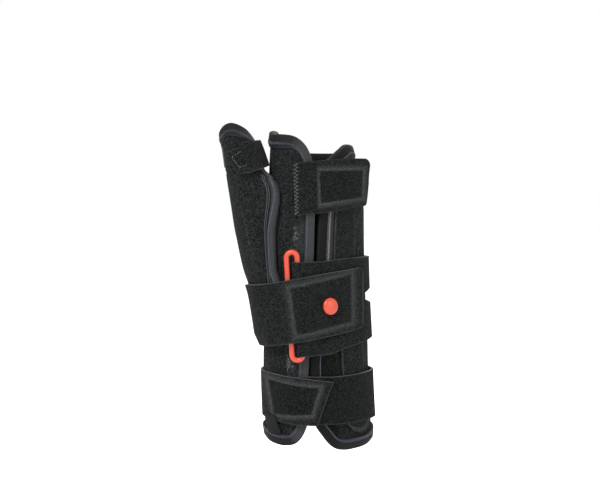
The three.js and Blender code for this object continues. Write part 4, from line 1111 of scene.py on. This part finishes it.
def build_ring_keeper():
    around = RING_WIRE / 2 + CLEARANCE + KEEPER / 2
    foot = ON_WRAP + KEEPER / 2
    places = [(-KEEPER_FOOT, foot), (-2.2 * around, foot), (-1.5 * around, mix(foot, RING_MIDLINE, 0.35))]
    places += [(math.cos(a) * around, RING_MIDLINE + math.sin(a) * around)
               for a in np.radians(np.linspace(180, 0, 13))]
    places += [(around, mix(foot, RING_MIDLINE, 0.45)), (1.25 * around, foot), (KEEPER_FOOT / 2, foot)]
    z = KEEPER_MIDDLE + np.linspace(-0.5, 0.5, 12) * KEEPER_WIDTH
    leg, leg_out, scale = ring_leg(-1, z)
    points = np.stack([on_arm(leg + past / scale, z, out + leg_out - RING_MIDLINE) for past, out in places])
    cloth("ring_keeper_webbing", "ring_keeper", points, KEEPER, [smooth_tape("webbing", (0.02, 0.02, 0.021), 0.4)],
          None, None, 0.15)


def taut_line(points):
    """The tightest line round a set of flat points, clockwise."""
    ordered = sorted(map(tuple, points))

    def half(items):
        kept = []
        for p in items:
            while len(kept) > 1 and ((kept[-1][0] - kept[-2][0]) * (p[1] - kept[-2][1])
                                     - (kept[-1][1] - kept[-2][1]) * (p[0] - kept[-2][0])) <= 0:
                kept.pop()
            kept.append(p)
        return kept

    return np.array((half(ordered)[:-1] + half(ordered[::-1])[:-1])[::-1])


WRIST_STRAP_LENGTH, WRIST_TAB_SIDE = 180, 33.8
GAUNTLET_FOOT, STRAP_TUCK = -18.5, 0.3
WRIST_Z = np.linspace(-37, 33, 57)
WRIST_RUN = np.linspace(0, WRIST_STRAP_LENGTH, 361)


@lru_cache(maxsize=None)
def wrist_surface():
    """The taut strap's middle surface on a grid of heights and lengths from its tab."""
    extra = CLEARANCE + STRAP / 2
    tape_top = TAPE_EASE + TAPE + extra
    rows = []
    for z in WRIST_Z:
        right, right_out, right_scale = ring_leg(1, z)
        left, left_out, left_scale = ring_leg(-1, z)
        edge = angle_at(thumb_section(z)[4] * HAND_WIDTH / 2, np.array(z), GAUNTLET_FROM, THUMB_EDGE_SIDE)
        front = np.linspace(-95, 15, 45)
        full = np.linspace(0, FULL, 121)
        fold = right_out + RING_WIRE / 2 + CLEARANCE + RING_STRAP_WALL + extra
        keeper = left_out + RING_WIRE / 2 + CLEARANCE + KEEPER + extra
        tucked = STRAP_TUCK * max(GAUNTLET_FOOT - z, 0)
        over_tape = GAUNTLET_FROM + GAUNTLET_WALL / 2 + tape_top
        under = np.concatenate([
            on_arm(full, z, WRAP_WALL + extra),
            on_arm(front, z, FRONT_SEAT.read("out", front) + RING_STRAP_WALL + extra),
            on_arm(right + np.linspace(0, 4, 4) / right_scale, z, fold),
            on_arm(left + np.array([-2, 0, 2]) / left_scale, z, keeper),
            round_thumb(z, full, 2 * CLEARANCE + extra - tucked),
            on_arm(edge + np.array([-6, -2.5, 1]), z, over_tape),
            round_thumb(z, np.linspace(75, 155, 9), tape_top + 2 * CLEARANCE - tucked),
            on_arm(BACK_LANDING + np.array([-6, 0, 6]), z, over_tape),
        ])[:, :2]
        line = taut_line(under)
        following = np.roll(line, -1, axis=0)
        start = next(i for i in range(len(line)) if line[i, 0] >= WRIST_TAB_SIDE > following[i, 0]
                     and following[i, 1] < line[i, 1] + 1 and following[i, 1] < 0)
        first, second = line[start], following[start]
        here = mix(first, second, (first[0] - WRIST_TAB_SIDE) / (first[0] - second[0]))
        path = np.vstack([here, np.roll(line, -start - 1, axis=0)])
        rows.append(points_at(WRIST_RUN, run_along(path), path))
    return relax(np.array(rows), 10, axis=1)


def on_wrist_strap(length, z):
    flat = read_grid(wrist_surface(), index_in(WRIST_Z, z), index_in(WRIST_RUN, length))
    return np.concatenate([flat, np.broadcast_to(z, flat.shape[:-1])[..., None]], -1)


def build_wrist_strap():
    u, v = mesh_grid((1 - tab_columns(200, WRIST_STRAP_LENGTH))[::-1], strap_rows(73))
    width = WRIST_STRAP_WIDTH * WRIST_STRAP.read("wide", u)
    z = WRIST_STRAP_WIDTH * WRIST_STRAP.read("middle", u) + v * (width - 2 * corner_cut(u * WRIST_STRAP_LENGTH))
    points = on_wrist_strap(u * WRIST_STRAP_LENGTH, z)
    # Painted highlight: a light line along the outline, brightest across the tab's end, which turns away from the
    # key light.
    line = np.maximum(edge_light(points), 1.5 * bell(u * WRIST_STRAP_LENGTH, 0, 0.9))
    band, inner = pressed_frame(points, [(-17.6, 15.6), (23.8, 23.6), (24.0, -8.6), (-13.2, -15.2)], 1.4, 3.0)
    points = bowed(points, 0.35 * inner - 0.2 * band, -1)
    cloth("wrist_strap_cloth", "wrist_strap", points, STRAP, strap_materials(),
          marks={"press": 0.8 * band, "edge": 0.6 * line, "tone": -0.1 * inner})


BUTTON_RADIUS, BUTTON_HEIGHT, BUTTON_FROM_TAB, BUTTON_UP = 6.0, 3.2, 33, 2.7
BUTTON = [(0, 0), (0.94, 0), (1, 0.16), (1, 0.38), (0.97, 0.54), (0.9, 0.68), (0.78, 0.82), (0.62, 0.92),
          (0.3, 0.99), (0, 1)]


def build_button():
    def at(from_tab, raised):
        return on_wrist_strap(BUTTON_FROM_TAB + from_tab, np.array(BUTTON_UP + raised))

    along = unit(at(-BUTTON_RADIUS, 0) - at(BUTTON_RADIUS, 0))
    out = unit(np.cross(along, at(0, BUTTON_RADIUS) - at(0, -BUTTON_RADIUS)))
    seat = at(0, 0) + out * (STRAP / 2 + 2 * CLEARANCE)
    edge = circle(61, along, np.cross(out, along)) * BUTTON_RADIUS
    rows = [seat + out * high * BUTTON_HEIGHT + edge * wide for wide, high in BUTTON]
    moulding("strap_button_cap", "strap_button", np.stack(rows, 1))


FOREARM_STRAP_HEIGHT, FOREARM_START = -64, -107
FOREARM_TAB_TOP, FOREARM_TAB_BOTTOM = FRONT + FULL + 13, FRONT + FULL - 4


def forearm_points(share, row):
    degrees = mix(FOREARM_START, mix(FOREARM_TAB_BOTTOM, FOREARM_TAB_TOP, row + 0.5), share)
    read = FOREARM_STRAP.read
    z = FOREARM_STRAP_HEIGHT + (read("middle", degrees) + row * read("wide", degrees)) * FOREARM_STRAP_WIDTH
    return on_arm(degrees, z, read("out", degrees) + STRAP / 2)


def build_forearm_strap():
    u, v = mesh_grid(np.r_[np.linspace(0, 0.985, 275), np.linspace(0.9865, 1, 10)], strap_rows(61))
    points = forearm_points(u, v)
    # Painted highlight: a light line along the strap's outline, in the cut-edge colour.
    line = edge_light(points)
    tab = (u > 0.6).astype(float)
    band, inner = pressed_frame(points, [(-33.5, -50.5), (0.8, -55.2), (-4.4, -72.4), (-29.5, -73.5)], 1.2, 2.6)
    band, inner = band * tab, inner * tab * (points[..., 1] < 0)
    points = bowed(points, 0.35 * inner - 0.2 * band)
    cloth("forearm_strap_cloth", "forearm_strap", points, STRAP, strap_materials(),
          marks={"press": band, "edge": 0.6 * line, "tone": -0.25 * inner - 0.25 * (1 - tab)})


def beside_tape(distance, z, out):
    side = slit_right(z)
    tape_end = side + (SLIT_TAPE_LEG + CLEARANCE) / per_degree(side, z, WRAP_WALL / 2)
    return on_arm(tape_end + distance / per_degree(FRONT + 25, z, ON_WRAP), z, out)


POCKET_WIDTH, POCKET_FROM_TAPE, POCKET_TOP, POCKET_FOOT = 21, 4.6, 0.7, -0.905


def build_pocket():
    u, v = mesh_grid(np.linspace(0, 1, 41), np.linspace(0, 1, 161))
    across = 2 * u - 1
    round_foot = POCKET_WIDTH / 2 * (1 - np.sqrt(1 - across ** 2 * 0.98))
    z = mix(height(POCKET_FOOT) + round_foot, height(POCKET_TOP), v)
    at = height_share(z)
    left = POCKET_FROM_TAPE + POCKET_EDGES.read("beyond", at) * POCKET_WIDTH
    edge = np.minimum(u, 1 - u)
    puff = 0.55 * np.sqrt(np.clip(edge / 0.16, 0, 1)) - 0.25
    points = beside_tape(left + u * POCKET_EDGES.read("wide", at) * POCKET_WIDTH, z, ON_WRAP + POCKET / 2 + puff)
    seam = bell(edge, 0.03, 0.022) + bell(v, 0.012, 0.008)
    cloth("stay_pocket_cloth", "stay_pocket", points, POCKET - 0.5, [loop_cloth("pocket cloth", times(LOOP, 0.9))],
          None, {"press": 0.7 * np.clip(seam, 0, 1)}, 0.4)


SEAM_TAPE_WIDTH, SEAM_TAPE_FOOT = 4, 0.22


def build_seam_tape():
    u, v = mesh_grid(np.linspace(0, 1, 7), np.linspace(0, 1, 60))
    z = mix(height(SEAM_TAPE_FOOT), height(POCKET_TOP), v)
    points = beside_tape(CLEARANCE + u * SEAM_TAPE_WIDTH, z, ON_WRAP + 0.35 + 0.3 * np.sin(u * np.pi))
    cloth("seam_tape_strip", "seam_tape", points, 0.6, [smooth_tape("pale tape", (0.016, 0.016, 0.0165), 0.2)],
          round_edge=0.15)
    levels = np.linspace(height(SEAM_TAPE_FOOT) + 3, height(POCKET_TOP), 90)
    teeth = zigzag(beside_tape(-0.3, levels, ON_WRAP + 1.5), beside_tape(1.2, levels, ON_WRAP + 1.2), 0.75)
    ends = ((0.7, 32), (1.6, 29), (3.2, 27))
    fork = [beside_tape(np.array(across), np.array(level), ON_WRAP + 1.1) for across, level in ends]
    threads("seam_teeth", [teeth, fork], 0.26, thread_material("pale thread", (0.24, 0.24, 0.23)))


LABEL_ANGLE, LABEL_WIDTH, LABEL_LEAN, LABEL_LOW, LABEL_HIGH, LABEL = 212, 12, 3, -88.5, -75, 0.9


def build_label():
    u, v = mesh_grid(np.linspace(-0.5, 0.5, 13), np.linspace(0, 1, 21))
    z = mix(LABEL_LOW, LABEL_HIGH, v)
    rise = smooth(z, LABEL_LOW, LABEL_HIGH)
    across = (u * LABEL_WIDTH + LABEL_LEAN * (1 - rise)) / per_degree(LABEL_ANGLE, z, ON_WRAP + STRAP + CLEARANCE)
    degrees = LABEL_ANGLE + across
    above = np.maximum(ON_WRAP + STRAP + CLEARANCE, FOREARM_STRAP.read("out", degrees) + STRAP + CLEARANCE)
    points = on_arm(degrees, z, mix(ON_TAPE, above, rise) + LABEL / 2)
    cloth("loop_label_tape", "loop_label", points, LABEL, [smooth_tape("label", LABEL_BLACK, 0.1)],
          round_edge=0.2)


THUMB_STRAP_SLACK = 0.7
BOX_STITCH = [(-87.5, 0.32), (-109, 0.24), (-111.5, 0.14), (-98, -0.26), (-78.5, -0.22)]


def thumb_strap_points(degrees, row, lift=0.0):
    read = THUMB_STRAP.read
    z = read("middle", degrees) * THUMB_REACH + row * read("wide", degrees) * THUMB_STRAP_WIDTH
    slack = THUMB_STRAP_SLACK * np.maximum(np.cos(np.radians(degrees)), 0) * (0.5 - row)
    return round_thumb(z, degrees, TAPE_EASE + TAPE + 2 * CLEARANCE + STRAP / 2 + slack + lift)


def build_thumb_strap():
    u, v = mesh_grid(np.r_[np.linspace(-128, -100, 40)[:-1], np.linspace(-100, 148, 130)], strap_rows(45))
    points = thumb_strap_points(u, v)
    # Painted highlight: a light line along the strap's outline, in the cut-edge colour.
    line = edge_light(points, 0.6)
    points = bowed(points, -0.5 * bell(u, -88, 6))
    cloth("thumb_strap_cloth", "thumb_strap", points, STRAP, strap_materials(), marks={"edge": 0.4 * line})
    runs = []
    for (a, low), (b, high) in zip(BOX_STITCH, BOX_STITCH[1:]):
        side = thumb_strap_points(np.linspace(a, b, 9), np.linspace(low, high, 9), STRAP / 2 + 0.15)
        runs += dashes(side, 1.1, 0.7)
    threads("thumb_box_stitch", runs, 0.17, thread_material("grey stitch", (0.1, 0.1, 0.1)))


# Add-on


class SplintSettings(bpy.types.PropertyGroup):
    """Colours and sizes that a user would change."""

    red: FloatVectorProperty(name="Fittings", description="Colour of the ring and the button", subtype="COLOR",
                             default=RED, min=0, max=1)
    world: FloatProperty(name="Studio light", description="Strength of the light from all round", default=1.0,
                         min=0)


class SPLINT_OT_body(bpy.types.Operator):
    """Builds the wrap, the thumb gauntlet and the tapes on their edges"""

    bl_idname = "splint.body"
    bl_label = "Wrap and gauntlet"

    def execute(self, context):
        build_wrap()
        build_wrap_binding()
        build_gauntlet()
        build_thumb_binding()
        return {"FINISHED"}


class SPLINT_OT_straps(bpy.types.Operator):
    """Builds the five straps and the keeper of the ring"""

    bl_idname = "splint.straps"
    bl_label = "Straps"

    def execute(self, context):
        build_palm_strap()
        build_ring_strap()
        build_ring_keeper()
        build_wrist_strap()
        build_forearm_strap()
        build_thumb_strap()
        return {"FINISHED"}


class SPLINT_OT_fittings(bpy.types.Operator):
    """Builds the pull ring and the button"""

    bl_idname = "splint.fittings"
    bl_label = "Ring and button"

    def execute(self, context):
        build_ring()
        build_button()
        return {"FINISHED"}


class SPLINT_OT_trim(bpy.types.Operator):
    """Builds the stay pocket, the pale seam tape and the loop label"""

    bl_idname = "splint.trim"
    bl_label = "Pocket, seam tape and label"

    def execute(self, context):
        build_pocket()
        build_seam_tape()
        build_label()
        return {"FINISHED"}


def point_at(obj, place, aim):
    obj.location = Vector(place)
    obj.rotation_euler = (Vector(aim) - Vector(place)).to_track_quat("-Z", "Y").to_euler()


def area_light(name, place, aim, size, power):
    data = bpy.data.lights.new(name, "AREA")
    data.shape = "DISK"
    data.size = size
    data.energy = power
    point_at(new_object(name, data), place, aim)


class SPLINT_OT_stage(bpy.types.Operator):
    """Sets the pale floor, the soft studio light and the camera"""

    bl_idname = "splint.stage"
    bl_label = "Stage"

    def execute(self, context):
        scene = context.scene
        bm = bmesh.new()
        bmesh.ops.create_grid(bm, x_segments=2, y_segments=2, size=6)
        for vert in bm.verts:
            vert.co.z = -0.16
        mesh = bpy.data.meshes.new("floor")
        bm.to_mesh(mesh)
        bm.free()
        floor = new_object("floor", mesh)
        s = Shader("floor")
        s.colour((0.9, 0.9, 0.9))
        s.body.inputs["Emission Color"].default_value = (1, 1, 1, 1)
        s.body.inputs["Emission Strength"].default_value = 0.35
        floor.data.materials.append(s.finish(0.9))
        scene.world = bpy.data.worlds.new("studio")
        scene.world.use_nodes = True
        background = scene.world.node_tree.nodes["Background"].inputs
        background["Color"].default_value = (1, 1, 1, 1)
        background["Strength"].default_value = scene.splint.world
        for name, place, size, power in LIGHTS:
            area_light(name, place, LIT, size, power)
        scene.view_settings.view_transform = "Standard"
        data = bpy.data.cameras.new("camera")
        data.lens = LENS
        data.clip_start = 0.01
        scene.camera = new_object("camera", data)
        point_at(scene.camera, Vector(CAMERA) * MM, Vector(AIM) * MM)
        return {"FINISHED"}


class SPLINT_PT_panel(bpy.types.Panel):
    """Lists the splint's settings and builders"""

    bl_idname = "SPLINT_PT_panel"
    bl_label = "Thumb spica splint"
    bl_space_type = "VIEW_3D"
    bl_region_type = "UI"
    bl_category = "Splint"

    def draw(self, context):
        settings = context.scene.splint
        for name in ("red", "world"):
            self.layout.prop(settings, name)
        for operator in OPERATORS:
            self.layout.operator(operator.bl_idname)


OPERATORS = (SPLINT_OT_body, SPLINT_OT_fittings, SPLINT_OT_trim, SPLINT_OT_straps, SPLINT_OT_stage)
CLASSES = (SplintSettings, *OPERATORS, SPLINT_PT_panel)


def register():
    for cls in CLASSES:
        bpy.utils.register_class(cls)
    bpy.types.Scene.splint = PointerProperty(type=SplintSettings)


def unregister():
    del bpy.types.Scene.splint
    for cls in reversed(CLASSES):
        bpy.utils.unregister_class(cls)


def main():
    register()
    bpy.ops.splint.body()
    bpy.ops.splint.fittings()
    bpy.ops.splint.trim()
    bpy.ops.splint.straps()
    bpy.ops.splint.stage()


if __name__ == "__main__":
    main()
